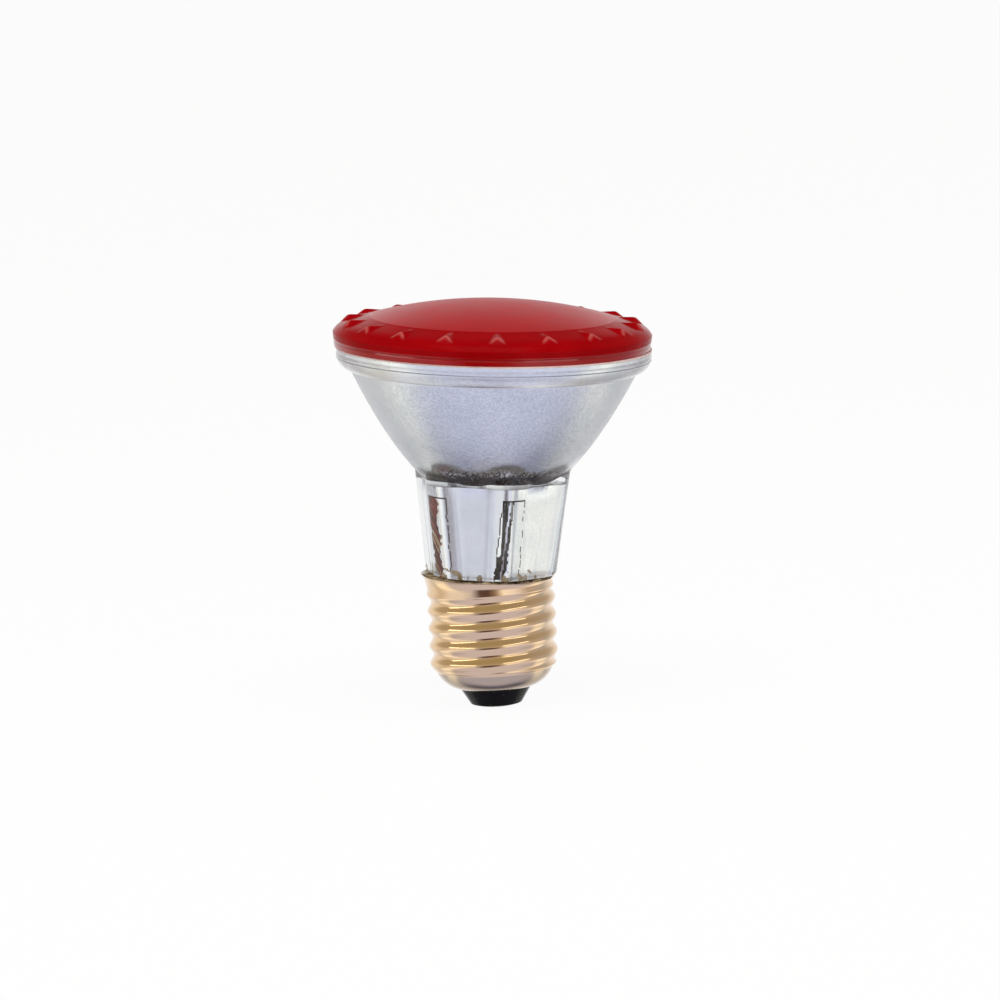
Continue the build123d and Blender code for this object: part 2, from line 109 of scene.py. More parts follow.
def ease(share: float) -> float:
    """Return a share from 0 to 1 with a soft start and a soft end."""
    return share * share * (3 - 2 * share)


def bulged(low: Point, high: Point, bulge: float, share: float) -> Point:
    """Find a point on a profile line that bulges outward and down.

    Args:
        low: Radius and height of the line's lower end.
        high: Radius and height of its upper end.
        bulge: How far its middle stands off the straight line.
        share: How far along it the point lies, from 0 to 1.

    Returns:
        The point's radius and height.
    """
    across, rise = high[0] - low[0], high[1] - low[1]
    length = math.hypot(across, rise)
    off = bulge * 4 * share * (1 - share)
    return low[0] + across * share + off * rise / length, low[1] + rise * share - off * across / length


class Skin:
    """A closed surface of rings that all have the same number of points, in millimetres."""

    def __init__(self, sides: int) -> None:
        """Start an empty skin.

        Args:
            sides: How many points each ring has.
        """
        self.sides = sides
        self.turns = np.linspace(0.0, 2 * math.pi, sides, endpoint=False)
        self.rings: list[np.ndarray] = []
        self.finishes: list[np.ndarray] = []
        self.marks: list[np.ndarray] = []

    def ring(
        self,
        radius: float | np.ndarray,
        height: float | np.ndarray,
        finish: int | np.ndarray = 0,
        mark: float | np.ndarray = 0.0,
        centre: Point = (0.0, 0.0),
    ) -> None:
        """Add a ring.

        Args:
            radius: One radius, or one for each point.
            height: One height, or one for each point.
            finish: Material slot of the band that runs from this ring to the next, or one for each face.
            mark: How far the surface is etched, or shows a painted highlight or a painted reflection on thin
                plating (up to 1), or is polished or darkened by painted shade (down to -1), at the ring.
            centre: Where the ring's centre lies.
        """
        points = np.empty((self.sides, 3))
        points[:, 0] = centre[0] + radius * np.cos(self.turns)
        points[:, 1] = centre[1] + radius * np.sin(self.turns)
        points[:, 2] = height
        self.rings.append(points)
        self.finishes.append(np.broadcast_to(finish, (self.sides,)))
        self.marks.append(np.broadcast_to(np.asarray(mark, dtype=float), (self.sides,)))

    def build(self, name: str, place: Matrix, closed: bool, crease_deg: float = 35.0) -> bpy.types.Object:
        """Join the rings into a mesh object.

        Args:
            name: Name of the piece.
            place: Where the rings' own frame stands in the lamp's frame, in millimetres.
            closed: True if the last ring joins the first, False if each end closes in a point.
            crease_deg: Edges that turn by more than this stay sharp.

        Returns:
            The new object, in metres.
        """
        sides, count = self.sides, len(self.rings)
        points = np.concatenate(self.rings)
        marks = np.concatenate(self.marks)
        here = np.arange(sides)
        after = (here + 1) % sides
        bands = count if closed else count - 1
        quads = np.concatenate(
            [
                np.stack((i * sides + here, i * sides + after, j * sides + after, j * sides + here), axis=1)
                for i, j in ((i, (i + 1) % count) for i in range(bands))
            ]
        )
        slots = np.concatenate(self.finishes[:bands])
        faces = quads.tolist()
        if not closed:
            poles = [self.rings[0].mean(axis=0), self.rings[-1].mean(axis=0)]
            first, last = len(points), len(points) + 1
            points = np.concatenate((points, poles))
            marks = np.append(marks, (self.marks[0][0], self.marks[-1][0]))
            tail = (count - 1) * sides
            faces += [[int(b), int(a), first] for a, b in zip(here, after)]
            faces += [[int(tail + a), int(tail + b), last] for a, b in zip(here, after)]
            slots = np.concatenate((slots, self.finishes[0], self.finishes[-1]))
        turned = points @ np.array(place.to_3x3()).T + np.array(place.translation)
        mesh = bpy.data.meshes.new(name)
        mesh.from_pydata((turned * MM).tolist(), [], faces)
        corners = turned[quads]
        volume = np.einsum("ij,ij->i", corners[:, 0], np.cross(corners[:, 1], corners[:, 2])).sum()
        volume += np.einsum("ij,ij->i", corners[:, 0], np.cross(corners[:, 2], corners[:, 3])).sum()
        if volume < 0:
            mesh.flip_normals()
        mesh.polygons.foreach_set("material_index", slots.astype(np.int32))
        mesh.polygons.foreach_set("use_smooth", np.ones(len(faces), dtype=bool))
        layer = mesh.attributes.new("mark", "FLOAT", "POINT")
        layer.data.foreach_set("value", marks.astype(np.float32))
        mesh.set_sharp_from_angle(angle=math.radians(crease_deg))
        mesh.update()
        piece = bpy.data.objects.new(name, mesh)
        bpy.context.scene.collection.objects.link(piece)
        return piece


@dataclass(frozen=True)
class Finish:
    """A material that is named for what the real one is."""

    name: str

    def build(self) -> bpy.types.Material:
        """Make the material; each kind of finish says how."""
        raise NotImplementedError(self.name)

    def material(self) -> bpy.types.Material:
        """Return the material, which is made the first time it is asked for."""
        return bpy.data.materials.get(self.name) or self.build()

    def start(self, **inputs: Any) -> tuple[bpy.types.Material, Tree, bpy.types.Node]:
        """Make the material with its shader.

        Args:
            **inputs: Values of the shader's sockets, with _ for a space in their names.

        Returns:
            The material, its node tree and its shader.
        """
        material = bpy.data.materials.new(self.name)
        material.use_nodes = True
        tree = material.node_tree
        tree.nodes.clear()
        values = {key.replace("_", " "): value for key, value in inputs.items()}
        shader = add_node(tree, "ShaderNodeBsdfPrincipled", values)
        add_node(tree, "ShaderNodeOutputMaterial", {"Surface": shader.outputs[0]})
        return material, tree, shader

    def pattern(
        self,
        tree: Tree,
        size_mm: float,
        detail: float,
        spread: Point | None = None,
        stretch: tuple[float, float, float] | None = None,
    ) -> Socket:
        """Lay a cloudy pattern over the piece.

        Args:
            tree: The tree that takes the nodes.
            size_mm: Size of its clouds.
            detail: How many finer layers it has.
            spread: The lowest and highest value, where it is drawn apart into blots.
            stretch: Its scale along each axis, where it is drawn out into lines.

        Returns:
            The pattern, whose values gather round 0.5 unless they are spread.
        """
        place = add_node(tree, "ShaderNodeTexCoord").outputs["Object"]
        if stretch:
            place = add_node(tree, "ShaderNodeMapping", {"Vector": place, "Scale": stretch}).outputs[0]
        clouds = {"Vector": place, "Scale": per_mm(size_mm), "Detail": detail}
        clouds = add_node(tree, "ShaderNodeTexNoise", clouds).outputs[0]
        if spread is None:
            return clouds
        blots = {"Value": clouds, "From Min": 0.3, "From Max": 0.7, "To Min": spread[0], "To Max": spread[1]}
        return add_node(tree, "ShaderNodeMapRange", blots).outputs[0]

    def mottle(self, tree: Tree, first: str, second: str, size_mm: float, detail: float) -> Socket:
        """Lay blots of two colours over the piece.

        Args:
            tree: The tree that takes the nodes.
            first: One hex colour.
            second: The other hex colour.
            size_mm: Size of the blots.
            detail: How many finer layers they have.

        Returns:
            The colour.
        """
        share = self.pattern(tree, size_mm, detail, (0.0, 1.0))
        colours = {0: share, 6: linear(first), 7: linear(second)}
        return add_node(tree, "ShaderNodeMix", colours, data_type="RGBA").outputs[2]

    def emboss(self, tree: Tree, shader: bpy.types.Node, height: Socket, depth_mm: float) -> None:
        """Give the surface a relief whose full height is depth_mm."""
        bump = add_node(tree, "ShaderNodeBump", {"Height": height, "Strength": 1.0, "Distance": depth_mm * MM})
        tree.links.new(bump.outputs[0], shader.inputs["Normal"])


@dataclass(frozen=True)
class PressedGlass(Finish):
    """Borosilicate glass pressed in a mould: clear and wavy where polished, grey satin where it is etched.

    The neck bends what lies behind it into bars and bright edges. The bowl's etched skin blurs the mirror
    film inside into soft silver.
    """

    name: str = "pressed_borosilicate_glass"
    ior: float = 1.473
    clear_roughness: float = 0.015
    satin_roughness: float = 0.24
    tint: str = "#FCFEFD"
    pit: str = "#D6D8DC"
    pit_range: Point = (-0.6, 1.6)
    wave_mm: float = 9.0
    wave_depth_mm: float = 0.12
    # Etching grit is about 0.05 mm; drawn at 0.4 mm so that it shows as grain.
    grit_mm: float = 0.4
    grit_depth_mm: float = 0.07
    absorb: str = "#BFC6D8"
    absorb_per_m: float = 9.0

    def build(self) -> bpy.types.Material:
        """Make the material.

        Returns:
            Glass that is etched where the mark is 1.
        """
        material, tree, shader = self.start(IOR=self.ior, Transmission_Weight=1.0, Metallic=0.0)
        satin = add_node(tree, "ShaderNodeAttribute", attribute_name="mark").outputs["Fac"]
        rough = {"Value": satin, "To Min": self.clear_roughness, "To Max": self.satin_roughness}
        tree.links.new(add_node(tree, "ShaderNodeMapRange", rough).outputs[0], shader.inputs["Roughness"])
        polish = add_node(tree, "ShaderNodeMath", {0: 1.0, 1: satin}, operation="SUBTRACT").outputs[0]
        height: Socket | float = 0.0
        for size_mm, detail, where, depth_mm in (
            (self.wave_mm, 1.0, polish, self.wave_depth_mm),
            (self.grit_mm, 2.0, satin, self.grit_depth_mm),
        ):
            part = {0: self.pattern(tree, size_mm, detail), 1: where}
            part = add_node(tree, "ShaderNodeMath", part, operation="MULTIPLY").outputs[0]
            sum_up = {0: part, 1: depth_mm / self.wave_depth_mm, 2: height}
            height = add_node(tree, "ShaderNodeMath", sum_up, operation="MULTIPLY_ADD").outputs[0]
        self.emboss(tree, shader, height, self.wave_depth_mm)
        pits = {0: self.pattern(tree, self.grit_mm, 3.0, self.pit_range), 1: satin}
        pits = add_node(tree, "ShaderNodeMath", pits, operation="MULTIPLY", use_clamp=True).outputs[0]
        colours = {0: pits, 6: linear(self.tint), 7: linear(self.pit)}
        colour = add_node(tree, "ShaderNodeMix", colours, data_type="RGBA").outputs[2]
        tree.links.new(colour, shader.inputs["Base Color"])
        volume = {"Color": linear(self.absorb), "Density": self.absorb_per_m}
        absorption = add_node(tree, "ShaderNodeVolumeAbsorption", volume)
        output = next(node for node in tree.nodes if node.type == "OUTPUT_MATERIAL")
        tree.links.new(absorption.outputs[0], output.inputs["Volume"])
        return material


@dataclass(frozen=True)
class RedGlass(Finish):
    """Pressed glass under a baked red lacquer: deep even red, hazy where light skims it, bright at thin edges.

    The lacquer scatters most of the light and lets the rest through the glass. Along the lugs' front edges a
    pale pink painted highlight is mixed into its colour.
    """

    name: str = "red_lacquered_glass"
    deep: str = "#940106"
    bright: str = "#9E0209"
    ior: float = 1.473
    # Painted highlight: pale pink that stands for the light the lugs' ridges catch.
    ridge_highlight: str = "#D8807B"
    ridge_highlight_share: float = 0.45
    through: float = 0.05
    gloss: float = 0.015
    roughness: float = 0.16
    uneven: Point = (0.96, 1.06)
    polish_share: float = 0.27
    mottle_mm: float = 5.0
    stipple_mm: float = 1.6
    stipple_depth_mm: float = 0.006

    def build(self) -> bpy.types.Material:
        """Make the material.

        Returns:
            Red glass with a pale pink painted highlight where the mark is 1, and smoother where it is -1.
        """
        material, tree, shader = self.start(
            IOR=self.ior, Transmission_Weight=self.through, Specular_IOR_Level=self.gloss
        )
        mark = add_node(tree, "ShaderNodeAttribute", attribute_name="mark").outputs["Fac"]
        red = self.mottle(tree, self.deep, self.bright, self.mottle_mm, 3.0)
        # Painted highlight, mixed in where the mark is high.
        ridge_highlight_amount = {0: mark, 1: self.ridge_highlight_share}
        ridge_highlight_amount = add_node(tree, "ShaderNodeMath", ridge_highlight_amount, operation="MULTIPLY").outputs[0]
        colours = {0: ridge_highlight_amount, 6: red, 7: linear(self.ridge_highlight)}
        colour = add_node(tree, "ShaderNodeMix", colours, data_type="RGBA").outputs[2]
        tree.links.new(colour, shader.inputs["Base Color"])
        spread = (self.roughness * self.uneven[0], self.roughness * self.uneven[1])
        rough = self.pattern(tree, self.mottle_mm, 3.0, spread)
        rubbed = {0: mark, 1: self.polish_share, 2: 1.0}
        rubbed = add_node(tree, "ShaderNodeMath", rubbed, operation="MULTIPLY_ADD").outputs[0]
        rough = add_node(tree, "ShaderNodeMath", {0: rough, 1: rubbed}, operation="MULTIPLY").outputs[0]
        tree.links.new(rough, shader.inputs["Roughness"])
        if self.stipple_depth_mm > 0:
            self.emboss(tree, shader, self.pattern(tree, self.stipple_mm, 2.0), self.stipple_depth_mm)
        return material


@dataclass(frozen=True)
class PlatedBrass(Finish):
    """Rolled brass under thin bright plating: peach and cream, with gold where the plating is thin and where a
    warm reflection between the thread's flanks is painted in, and painted shade on the bowl underneath.
    """

    name: str = "plated_rolled_brass"
    plated: str = "#E4C6A8"
    # Gold of thin plating, and the painted warm reflection that the thread's flanks cast on each other.
    gold_thin_and_reflected: str = "#F0C674"
    gold_thin_and_reflected_share: float = 0.6
    # Painted shade: the darker, greyer colour of the cap's downward-facing bowl.
    underside_shade: str = "#C0AC98"
    roughness: float = 0.12
    uneven: Point = (0.75, 1.35)
    blot_mm: float = 7.0
    blot_share: float = 0.16
    # Rolling lines are about 0.1 mm apart; drawn at 0.5 mm so that they show.
    line_mm: float = 0.5
    line_depth_mm: float = 0.01
    line_stretch: tuple[float, float, float] = (0.06, 0.06, 1.0)

    def build(self) -> bpy.types.Material:
        """Make the material.

        Returns:
            Brass that is gold where the mark is 1, from thin plating and a painted reflection, and darkened by
            painted shade where it is -1.
        """
        material, tree, shader = self.start(Metallic=1.0)
        mark = add_node(tree, "ShaderNodeAttribute", attribute_name="mark").outputs["Fac"]
        blot = self.pattern(tree, self.blot_mm, 4.0, (0.0, self.blot_share))
        # Gold share: thin plating and painted reflection, with random blots.
        gold_thin_and_reflected_mask = {0: mark, 1: self.gold_thin_and_reflected_share, 2: blot}
        gold_thin_and_reflected_mask = add_node(tree, "ShaderNodeMath", gold_thin_and_reflected_mask, operation="MULTIPLY_ADD").outputs[0]
        # Painted shade where the mark is negative.
        underside_shade_share = {0: mark, 1: -1.0}
        underside_shade_share = add_node(tree, "ShaderNodeMath", underside_shade_share, operation="MULTIPLY", use_clamp=True).outputs[0]
        colour: Any = linear(self.plated)
        for share, tone in ((gold_thin_and_reflected_mask, self.gold_thin_and_reflected), (underside_shade_share, self.underside_shade)):
            colours = {0: share, 6: colour, 7: linear(tone)}
            colour = add_node(tree, "ShaderNodeMix", colours, data_type="RGBA").outputs[2]
        tree.links.new(colour, shader.inputs["Base Color"])
        spread = (self.roughness * self.uneven[0], self.roughness * self.uneven[1])
        rough = self.pattern(tree, self.line_mm, 3.0, spread, self.line_stretch)
        tree.links.new(rough, shader.inputs["Roughness"])
        lines = self.pattern(tree, self.line_mm, 3.0, stretch=self.line_stretch)
        self.emboss(tree, shader, lines, self.line_depth_mm)
        return material


@dataclass(frozen=True)
class BlackVitrite(Finish):
    """Black glass cast hot into the cap: deep gloss, with a faint brown cast and small dust specks."""

    name: str = "black_vitrite"
    body: str = "#040407"
    cast: str = "#120A09"
    dust: str = "#6E6660"
    ior: float = 1.6
    gloss: float = 0.06
    roughness: float = 0.09
    uneven: Point = (0.6, 2.0)
    blot_mm: float = 2.5
    dust_mm: float = 0.5
    dust_range: Point = (0.72, 0.78)
    smear_mm: float = 0.6
    wave_mm: float = 1.4
    wave_depth_mm: float = 0.02

    def build(self) -> bpy.types.Material:
        """Make the material.

        Returns:
            Black glass with dust on it.
        """
        material, tree, shader = self.start(IOR=self.ior, Specular_IOR_Level=self.gloss)
        body = self.mottle(tree, self.body, self.cast, self.blot_mm, 4.0)
        start, end = self.dust_range
        dust = {"Value": self.pattern(tree, self.dust_mm, 1.0), "From Min": start, "From Max": end}
        dust = add_node(tree, "ShaderNodeMapRange", dust).outputs[0]
        colours = {0: dust, 6: body, 7: linear(self.dust)}
        colour = add_node(tree, "ShaderNodeMix", colours, data_type="RGBA").outputs[2]
        tree.links.new(colour, shader.inputs["Base Color"])
        spread = (self.roughness * self.uneven[0], self.roughness * self.uneven[1])
        rough = self.pattern(tree, self.smear_mm, 3.0, spread)
        tree.links.new(rough, shader.inputs["Roughness"])
        self.emboss(tree, shader, self.pattern(tree, self.wave_mm, 2.0), self.wave_depth_mm)
        return material


@dataclass(frozen=True)
class Grainy(Finish):
    """A material with blots of two colours and a grain: mirror film, cement, adhesive, wire, foil, sleeving."""

    name: str
    first: str
    second: str
    roughness: float
    metallic: float = 0.0
    blot_mm: float = 1.5
    blot_detail: float = 4.0
    grain_mm: float = 0.4
    grain_detail: float = 3.0
    grain_depth_mm: float = 0.05
    uneven: Point = (0.8, 1.25)

    def build(self) -> bpy.types.Material:
        """Make the material.

        Returns:
            The blotted and grained material.
        """
        material, tree, shader = self.start(Metallic=self.metallic)
        colour = self.mottle(tree, self.first, self.second, self.blot_mm, self.blot_detail)
        tree.links.new(colour, shader.inputs["Base Color"])
        spread = (self.roughness * self.uneven[0], min(1.0, self.roughness * self.uneven[1]))
        rough = self.pattern(tree, self.grain_mm, self.grain_detail, spread)
        tree.links.new(rough, shader.inputs["Roughness"])
        self.emboss(tree, shader, self.pattern(tree, self.grain_mm, self.grain_detail), self.grain_depth_mm)
        return material


@dataclass(frozen=True)
class FusedSilica(Finish):
    """Fused silica tube of the burner: water-clear with faint drawing waves."""

    name: str = "fused_silica"
    tint: str = "#F8FAFA"
    ior: float = 1.458
    wave_mm: float = 3.0
    wave_depth_mm: float = 0.05

    def build(self) -> bpy.types.Material:
        """Make the material.

        Returns:
            Clear glass with a faint relief.
        """
        material, tree, shader = self.start(
            Base_Color=linear(self.tint), IOR=self.ior, Transmission_Weight=1.0, Roughness=0.0
        )
        self.emboss(tree, shader, self.pattern(tree, self.wave_mm, 1.0), self.wave_depth_mm)
        return material


# Aluminium coated in a vacuum on the inside of the bowl is a bright, faintly cool mirror with a fine grain.
MIRROR = Grainy(
    "vacuum_coated_aluminium", "#F0F1F5", "#FAFAFC", 0.2, metallic=1.0,
    blot_mm=6.0, blot_detail=3.0, grain_mm=0.5, grain_detail=2.0, grain_depth_mm=0.005,
)
# Mineral cement is matt and sandy, browned where it was baked.
CEMENT = Grainy(
    "baked_mineral_cement", "#BFA27A", "#E6D6B8", 0.85,
    blot_mm=1.8, grain_mm=0.35, grain_depth_mm=0.12,
)
# Silicone adhesive is pale and slightly pink at the lens's edge.
ADHESIVE = Grainy(
    "cured_adhesive", "#D9B7B3", "#E8D2CE", 0.5,
    blot_mm=2.5, grain_mm=0.5, grain_depth_mm=0.03,
)
# Nickel-plated wire is drawn through a die, so it has a soft grey lustre.
NICKEL = Grainy(
    "drawn_nickel_wire", "#8F8B84", "#B5B0A8", 0.3, metallic=1.0,
    blot_mm=2.0, grain_mm=0.3, grain_depth_mm=0.01,
)
# Tungsten wire is dark grey after firing.
TUNGSTEN = Grainy(
    "fired_tungsten", "#4A4A4E", "#66666B", 0.4, metallic=1.0,
    blot_mm=0.6, grain_mm=0.1, grain_depth_mm=0.005,
)
# Molybdenum foil and pins are thin, rolled and grey.
MOLYBDENUM = Grainy(
    "rolled_molybdenum", "#76767B", "#9A9AA0", 0.35, metallic=1.0,
    blot_mm=1.0, grain_mm=0.2, grain_depth_mm=0.005,
)
# Varnished glass sleeving is a tight red-brown weave.
SLEEVING = Grainy(
    "varnished_glass_sleeving", "#5E1E18", "#8A3A2C", 0.55,
    blot_mm=0.9, grain_mm=0.35, grain_depth_mm=0.08,
)
# Insulating varnish dries in a red-brown crust with paler blisters.
VARNISH = Grainy(
    "baked_red_varnish", "#5A1210", "#B4584C", 0.5,
    blot_mm=0.8, grain_mm=0.5, grain_depth_mm=0.1,
)
# The masked edge of the mirror film is burnt dark. The same dark brown, put in specks round the mirror's floor,
# is painted shade.
BURNT_AND_SHADE = Grainy(
    "burnt_film_and_shade", "#2A2018", "#5C4A3A", 0.7,
    blot_mm=0.8, grain_mm=0.4, grain_depth_mm=0.05,
)
# Soft solder sets with a dull bright skin.
SOLDER = Grainy(
    "soft_solder", "#9A9A9C", "#BEBEC0", 0.3, metallic=1.0,
    blot_mm=0.8, grain_mm=0.3, grain_depth_mm=0.03,
)
# The contact is pressed from plated brass and rubbed by the holder.
CONTACT = Grainy(
    "pressed_contact_plate", "#B9A888", "#D2C6AE", 0.25, metallic=1.0,
    blot_mm=2.0, grain_mm=0.25, grain_depth_mm=0.01,
)
# On the dome the lacquer is thicker and has a soft sheen; along the lens's foot the bare edge is polished.
RED_DOME = RedGlass(
    "red_lacquered_dome", "#A60108", "#AE020C", through=0.0, gloss=0.55, roughness=0.4, stipple_depth_mm=0.0
)
RED_EDGE = RedGlass("red_polished_edge", gloss=0.4, roughness=0.07)


@dataclass(frozen=True)
class HeadSeat:
    """Where the glass head, drawn upright from its shoulder, stands and leans on the cap."""

    pivot_mm: float = 23.5
    lean_deg: float = 3.8
    shoulder_mm: float = 3.7

    def place(self) -> Matrix:
        """Return the head's place in the lamp's frame, in millimetres."""
        lean = Matrix.Rotation(math.radians(self.lean_deg), 4, "Y")
        return Matrix.Translation((0, 0, self.pivot_mm)) @ lean @ Matrix.Translation((0, 0, self.shoulder_mm))


class ReflectorFinish(IntEnum):
    """Material slots of the reflector."""

    GLASS = 0
    MIRROR = 1
    VARNISH = 2
    BURNT_AND_SHADE = 3
    CEMENT = 4


@dataclass
class Reflector:
    """Pressed glass bowl with a mirror film inside, on a clear six-sided neck with a round stem.

    The film runs on down the flats of the neck's cavity and leaves its corners clear.
    """

    seat: HeadSeat
    sides: int = 384
    # Round stem, with the notch for the side lead.
    stem_r: float = 11.2
    stem_length: float = 8.2
    stem_chamfer: float = 0.1
    notch_depth: float = 1.1
    notch_half_width: float = 0.7
    # Six-sided neck. Its flats lean in under the bowl and leave an arch over each corner.
    neck_height: float = 22.5
    neck_bottom: float = 12.8
    neck_top: float = 15.2
    neck_corner_r: float = 7.8
    neck_turn_deg: float = 43.0
    neck_edge_r: float = 0.8
    neck_ridge: float = 0.08
    ridge_width_rad: float = 0.03
    arch_height: float = 17.2
    arch_rise: float = 3.0
    arch_depth: float = 0.8
    arch_half_rad: float = 0.2
    # Six-sided cavity of the neck, from its bore up to its ceiling.
    bore_flat: float = 7.794
    foot_height: float = 0.6
    foot_flat: float = 10.6
    head_height: float = 19.1
    head_flat: float = 13.1
    cavity_corner_r: float = 2.4
    # Clear windows in the film at the cavity's corners, with ragged burnt edges.
    window_deg: tuple[float, ...] = (10.5, 10.5, 0.0, 11.5, 9.5, 0.0)
    window_turn_deg: tuple[float, ...] = (1.5, 1.5, 0.0, -5.0, 5.0, 0.0)
    window_corners: tuple[int, ...] = (0, 1, 3, 4)
    window_top: float = 17.0
    window_head: float = 0.35
    edge_deg: float = 0.9
    edge_waves: Waves = ((0.4, 1.1, 0.0), (0.25, 2.9, 1.0))
    flake_paces: Point = (1.3, 3.1)
    flake_level: float = -1.5
    # Strip of varnish in one window, with pale and dark patches and bright film beside it.
    varnish_corner: int = 3
    crust_deg: float = 1.5
    crust_waves: Waves = ((1.6, 0.9, 0.4), (0.9, 3.7, 0.0))
    crust_gap_deg: float = 1.2
    pale_height: float = 10.0
    pale_level: float = 0.65
    dark_level: float = -1.0
    # Slanting window with bars of scratched film.
    scratched_corner: int = 4
    window_slant_deg: float = 5.5
    scratch_deg: float = 1.0
    scratch_slant_deg: float = 4.5
    scratch_waves: Waves = ((0.25, 1.3, 0.0), (0.2, 4.1, 0.0))
    scratch_half_deg: float = 0.6
    scratch_inset_deg: float = 0.5
    sliver_deg: float = 3.6
    sliver_slant: float = 0.08
    sliver_half_deg: float = 0.7
    # Ragged cement at the cavity's foot.
    lump_height: float = 1.2
    lump_waves: Waves = ((0.6, 5, 0.6), (0.5, 13, 0.0), (0.4, 29, 2.0))
    gap_count: int = 17
    gap_slant: float = 3.0
    gap_level: float = 0.1
    # Bowl, etched from a little above the neck, with painted shade near the floor: dark specks on its mirror.
    bowl_focal: float = 7.4
    bowl_foot_r: float = 16.9
    bowl_mouth_r: float = 29.2
    bowl_wall: float = 3.93
    seam_r: float = 0.22
    satin_run: float = 3.0
    satin_power: float = 1.5
    mirror_focal: float = 7.0
    floor_rise: float = 3.0
    capsule_hole_r: float = 5.9105
    shade_band_r: float = 14.4
    shade_band_run: float = 2.0
    shade_band_most: float = 0.96
    shade_spared_r: float = 11.6
    shade_spared_run: float = 1.5
    shade_spared_share: float = 0.2
    speck_seed: int = 5
    # Rim: a bead over the bowl, a round shoulder, and a band with fine lines and a dip.
    rim_r: float = 32.1
    rim_satin: float = 0.35
    rim_top_satin: float = 0.2
    rim_bead: tuple[Point, ...] = ((-0.2, -0.1), (-0.1, 0.12), (0.0, 0.2), (0.1, 0.24), (0.2, 0.22))
    rim_shoulder_height: float = 2.6
    rim_shoulder_bulge: float = 0.55
    rim_band_height: float = 1.9
    rim_chamfer: float = 0.12
    line_depth: float = 0.012
    line_pitch: float = 0.75
    dip_depth: float = 0.08
    dip_height: float = 0.2
    dip_width: float = 0.14

    @property
    def bowl_vertex(self) -> float:
        """Height of the bowl's outer vertex."""
        return self.neck_height - self.bowl_foot_r**2 / (4 * self.bowl_focal)

    @property
    def bowl_mouth(self) -> float:
        """Height at which the bowl meets its rim."""
        return self.bowl_vertex + self.bowl_mouth_r**2 / (4 * self.bowl_focal)

    @property
    def rim_top(self) -> float:
        """Height of the rim's top face."""
        return self.bowl_mouth + self.rim_shoulder_height + self.rim_band_height

    @property
    def mirror_vertex(self) -> float:
        """Height of the mirror's vertex."""
        return self.bowl_vertex + self.bowl_wall

    @property
    def mirror_mouth_r(self) -> float:
        """Radius of the mirror where it meets the rim's top face."""
        return math.sqrt(4 * self.mirror_focal * (self.rim_top - self.mirror_vertex))

    def from_corner(self, turns: np.ndarray) -> np.ndarray:
        """Return how far each angle lies from the nearest corner of the neck, in radians."""
        return (turns - math.radians(self.neck_turn_deg) + SIXTH / 2) % SIXTH - SIXTH / 2

    def hexagon(self, turns: np.ndarray, flat: float, corner_r: float, ridge: float = 0.0) -> np.ndarray:
        """Give the radius of a rounded hexagon at each angle.

        Args:
            turns: Angles in radians.
            flat: Distance from the middle to a flat.
            corner_r: Radius of its corners.
            ridge: How far a fine ridge stands where each corner meets a flat.

        Returns:
            The radius at each angle.
        """
        half = SIXTH / 2
        off = np.abs(self.from_corner(turns))
        centre = (flat - corner_r) / math.cos(half)
        touch = math.atan2(corner_r * math.sin(half), centre + corner_r * math.cos(half))
        corner = centre * np.cos(off) + np.sqrt(np.maximum(corner_r**2 - (centre * np.sin(off)) ** 2, 0.0))
        line = ridge * np.exp(-(((off - touch) / self.ridge_width_rad) ** 2))
        return np.where(off < touch, corner, flat / np.cos(half - off)) + line

    def neck(self, turns: np.ndarray, height: float, inset: float = 0.0) -> np.ndarray:
        """Give the neck's outer radius at each angle.

        Args:
            turns: Angles in radians.
            height: Height on the neck.
            inset: How far the outline is drawn in.

        Returns:
            The radius at each angle.
        """
        share = height / self.neck_height
        flat = self.neck_bottom + (self.neck_top - self.neck_bottom) * share - inset
        return self.hexagon(turns, flat, self.neck_corner_r - inset, self.neck_ridge)

    def scoop(self, turns: np.ndarray, height: float) -> np.ndarray:
        """Give how far each flat leans in under the bowl, which leaves an arch over each corner.

        Args:
            turns: Angles in radians.
            height: Height on the neck.

        Returns:
            The lean at each angle.
        """
        rise = np.clip((height - self.arch_height) / self.arch_rise, 0.0, 1.0)
        off = np.abs(self.from_corner(turns))
        return self.arch_depth * rise * np.clip((off - self.arch_half_rad) / self.arch_half_rad, 0.0, 1.0)

    def stem(self, turns: np.ndarray) -> np.ndarray:
        """Return the stem's radius at each angle, with the notch for the side lead."""
        across = np.abs(self.stem_r * np.sin(turns)) < self.notch_half_width
        return np.where(across & (np.cos(turns) < 0), self.stem_r - self.notch_depth, self.stem_r)

    def outside(self, skin: Skin) -> None:
        """Lay the rings of the outer face, from the stem's foot up to the rim's top.

        Args:
            skin: The skin that takes them.
        """
        turns = skin.turns
        stem = self.stem(turns)
        skin.ring(stem - self.stem_chamfer, -self.stem_length)
        skin.ring(stem, -self.stem_length + self.stem_chamfer)
        skin.ring(stem, -0.05)
        # The underside of the neck sits in the cement.
        skin.ring(stem, 0.0, ReflectorFinish.CEMENT)
        for angle in np.radians((0, 22.5, 45, 67.5, 90)):
            inset = self.neck_edge_r * (1 - math.sin(angle))
            height = self.neck_edge_r * (1 - math.cos(angle))
            skin.ring(self.neck(turns, height, inset), height)
        # The rings lie close together where the neck runs into the bowl.
        low, seam, high = 1.6, 18.4, 23.2
        heights = (
            np.arange(low, seam, 0.8),
            np.arange(seam, high, 0.12),
            np.linspace(high, self.bowl_mouth - 0.3, 34),
        )
        for height in np.concatenate(heights):
            bowl = math.sqrt(max(4 * self.bowl_focal * (height - self.bowl_vertex), 0.0))
            neck = self.neck(turns, min(height, self.neck_height)) - self.scoop(turns, height)
            satin = np.clip((bowl - neck) / self.satin_run, 0.0, 1.0) ** self.satin_power
            radius = smooth_max(neck, np.full_like(neck, bowl), self.seam_r)
            skin.ring(radius, height, ReflectorFinish.GLASS, satin)
        self.rim(skin)

